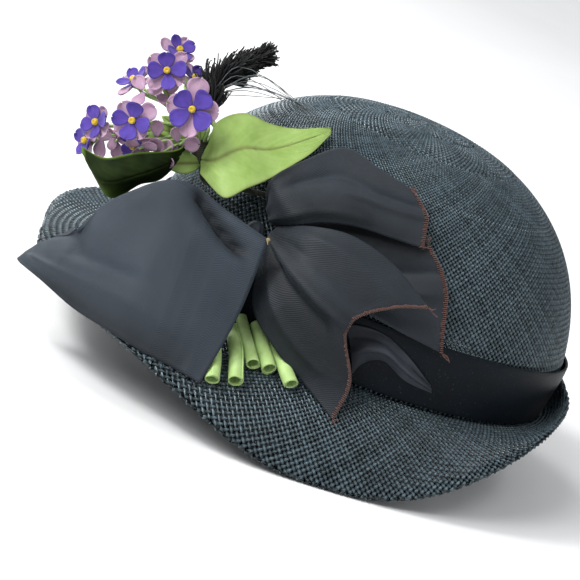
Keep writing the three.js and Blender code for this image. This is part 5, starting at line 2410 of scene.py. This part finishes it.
@dataclass
class Studio:
    """The pale floor, the soft lights and the camera at the photograph's angle.

    Attributes:
        azimuth: The camera's side, in degrees from the hat's front.
        elevation: Its height angle, in degrees.
        roll: How far it is rolled, in degrees.
        distance: How far it stands, in millimetres.
        across: Its shift to the side, in millimetres.
        up: Its shift upwards, in millimetres.
        lens: Its focal length.
        sensor: The width of its sensor.
        fit_place: The point that it is turned about.
        floor_reach: How far the floor runs, in metres.
        sun_side: Where the wide, even light comes from, with its power and its angle in degrees.
        lights: The soft lights: their places in metres, sizes and powers.
    """

    azimuth: float = 82.35
    elevation: float = 14.91
    roll: float = -23.84
    distance: float = 1000.0
    across: float = -10.1
    up: float = 47.1
    lens: float = 134.34
    sensor: float = 36.0
    fit_place: Triple = (0.0, 22.17, -0.34)
    floor_reach: float = 20.0
    sun_side: Triple = (0.7, -0.8, 0.9)
    sun_power: float = 1.7
    sun_angle: float = 25.0
    lights: Sequence[tuple[str, Triple, float, float]] = (
        ("key", (0.5, -1.4, 1.4), 0.5, 26.0),
        ("top", (0.6, 0.5, 1.7), 0.5, 4.0),
        ("rim", (-1.1, -0.9, 0.8), 0.6, 12.0),
    )

    def camera(self) -> None:
        """Places the camera."""
        a, e, r = (math.radians(x) for x in (self.azimuth, self.elevation, self.roll))
        back = Vector((math.sin(a) * math.cos(e), -math.cos(a) * math.cos(e), math.sin(e)))
        right = Vector((math.cos(a), math.sin(a), 0))
        over = back.cross(right)
        x_axis = math.cos(r) * right - math.sin(r) * over
        y_axis = math.sin(r) * right + math.cos(r) * over
        place = x_axis * self.across + y_axis * self.up + back * self.distance + Vector(self.fit_place)
        lens = bpy.data.cameras.new("camera")
        lens.lens, lens.sensor_width = self.lens, self.sensor
        lens.clip_start, lens.clip_end = 0.05, 3 * self.floor_reach
        camera = new_object("camera", lens)
        turn = Matrix((x_axis, y_axis, back)).transposed()
        camera.matrix_world = Matrix.Translation(place * MM) @ turn.to_4x4()
        bpy.context.scene.camera = camera

    def light(self, name: str, place: Sequence[float], size: float, power: float) -> None:
        """Places one soft light that faces the hat.

        Args:
            name: Its name.
            place: Its place, in metres.
            size: The disk's width, in metres.
            power: Its power, in watts.
        """
        lamp = bpy.data.lights.new(name, "AREA")
        lamp.shape, lamp.size, lamp.energy = "DISK", size, power
        source = new_object(name, lamp)
        source.location = place
        source.rotation_euler = (Vector(place) - Vector((0, 0, 0.08))).to_track_quat("Z", "Y").to_euler()

    def sun(self) -> None:
        """Places the wide, even light over the whole floor."""
        lamp = bpy.data.lights.new("sun", "SUN")
        lamp.energy, lamp.angle = self.sun_power, math.radians(self.sun_angle)
        new_object("sun", lamp).rotation_euler = Vector(self.sun_side).to_track_quat("Z", "Y").to_euler()

    def floor(self) -> None:
        """Lays the pale floor."""
        pen = MaterialPen("pale_floor")
        pen.shade(
            Base_Color=pen.ramp(pen.noise(3.0, 3.0), [(0.3, (0.83,) * 3), (0.7, (0.88,) * 3)]),
            Roughness=0.9,
        )
        mesh = bpy.data.meshes.new("floor")
        reach = self.floor_reach
        spots = [(x * reach, y * reach, 0.0) for x, y in ((-1, -1), (1, -1), (1, 1), (-1, 1))]
        mesh.from_pydata(spots, [], [(0, 1, 2, 3)])
        mesh.materials.append(pen.material)
        new_object("floor", mesh)

    def build(self) -> None:
        """Builds the floor, the lights and the camera."""
        self.floor()
        bpy.context.scene.view_settings.view_transform = "Standard"
        world = bpy.data.worlds.new("studio")
        world.use_nodes = True
        sky = world.node_tree.nodes["Background"].inputs
        sky["Color"].default_value = (0.95, 0.97, 1, 1)
        sky["Strength"].default_value = 0.5
        bpy.context.scene.world = world
        for name, place, size, power in self.lights:
            self.light(name, place, size, power)
        self.sun()
        self.camera()


def corners(box: tuple[Vector, Vector]) -> list[list[float]]:
    """A box's two corners as plain lists."""
    return [[float(x) for x in corner] for corner in box]


def main() -> None:
    """Builds the hat and its studio, one sub-assembly after another."""
    logging.basicConfig(level=logging.INFO, format="%(name)s %(message)s")
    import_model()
    cloths = {slot: finish.material() for slot, finish in FINISHES.items()}
    WovenStraw().build(cloths[Slot.STRAW])
    HatBand().build(cloths[Slot.SATIN], HIGHLIT_FOLD_SATIN.material())
    RibbonBow().build(cloths[Slot.RIBBON], OVERLOCK_THREAD.material(), PALE_THREAD.material())
    for leaf in LEAVES:
        leaf.build(cloths[leaf.slot])
    VioletBunch().build(cloths)
    CutStems().build(cloths[Slot.STEM])
    Plume().build(cloths[Slot.FEATHER], GREY_WISPS.material())
    Studio().build()


if __name__ == "__main__":
    main()
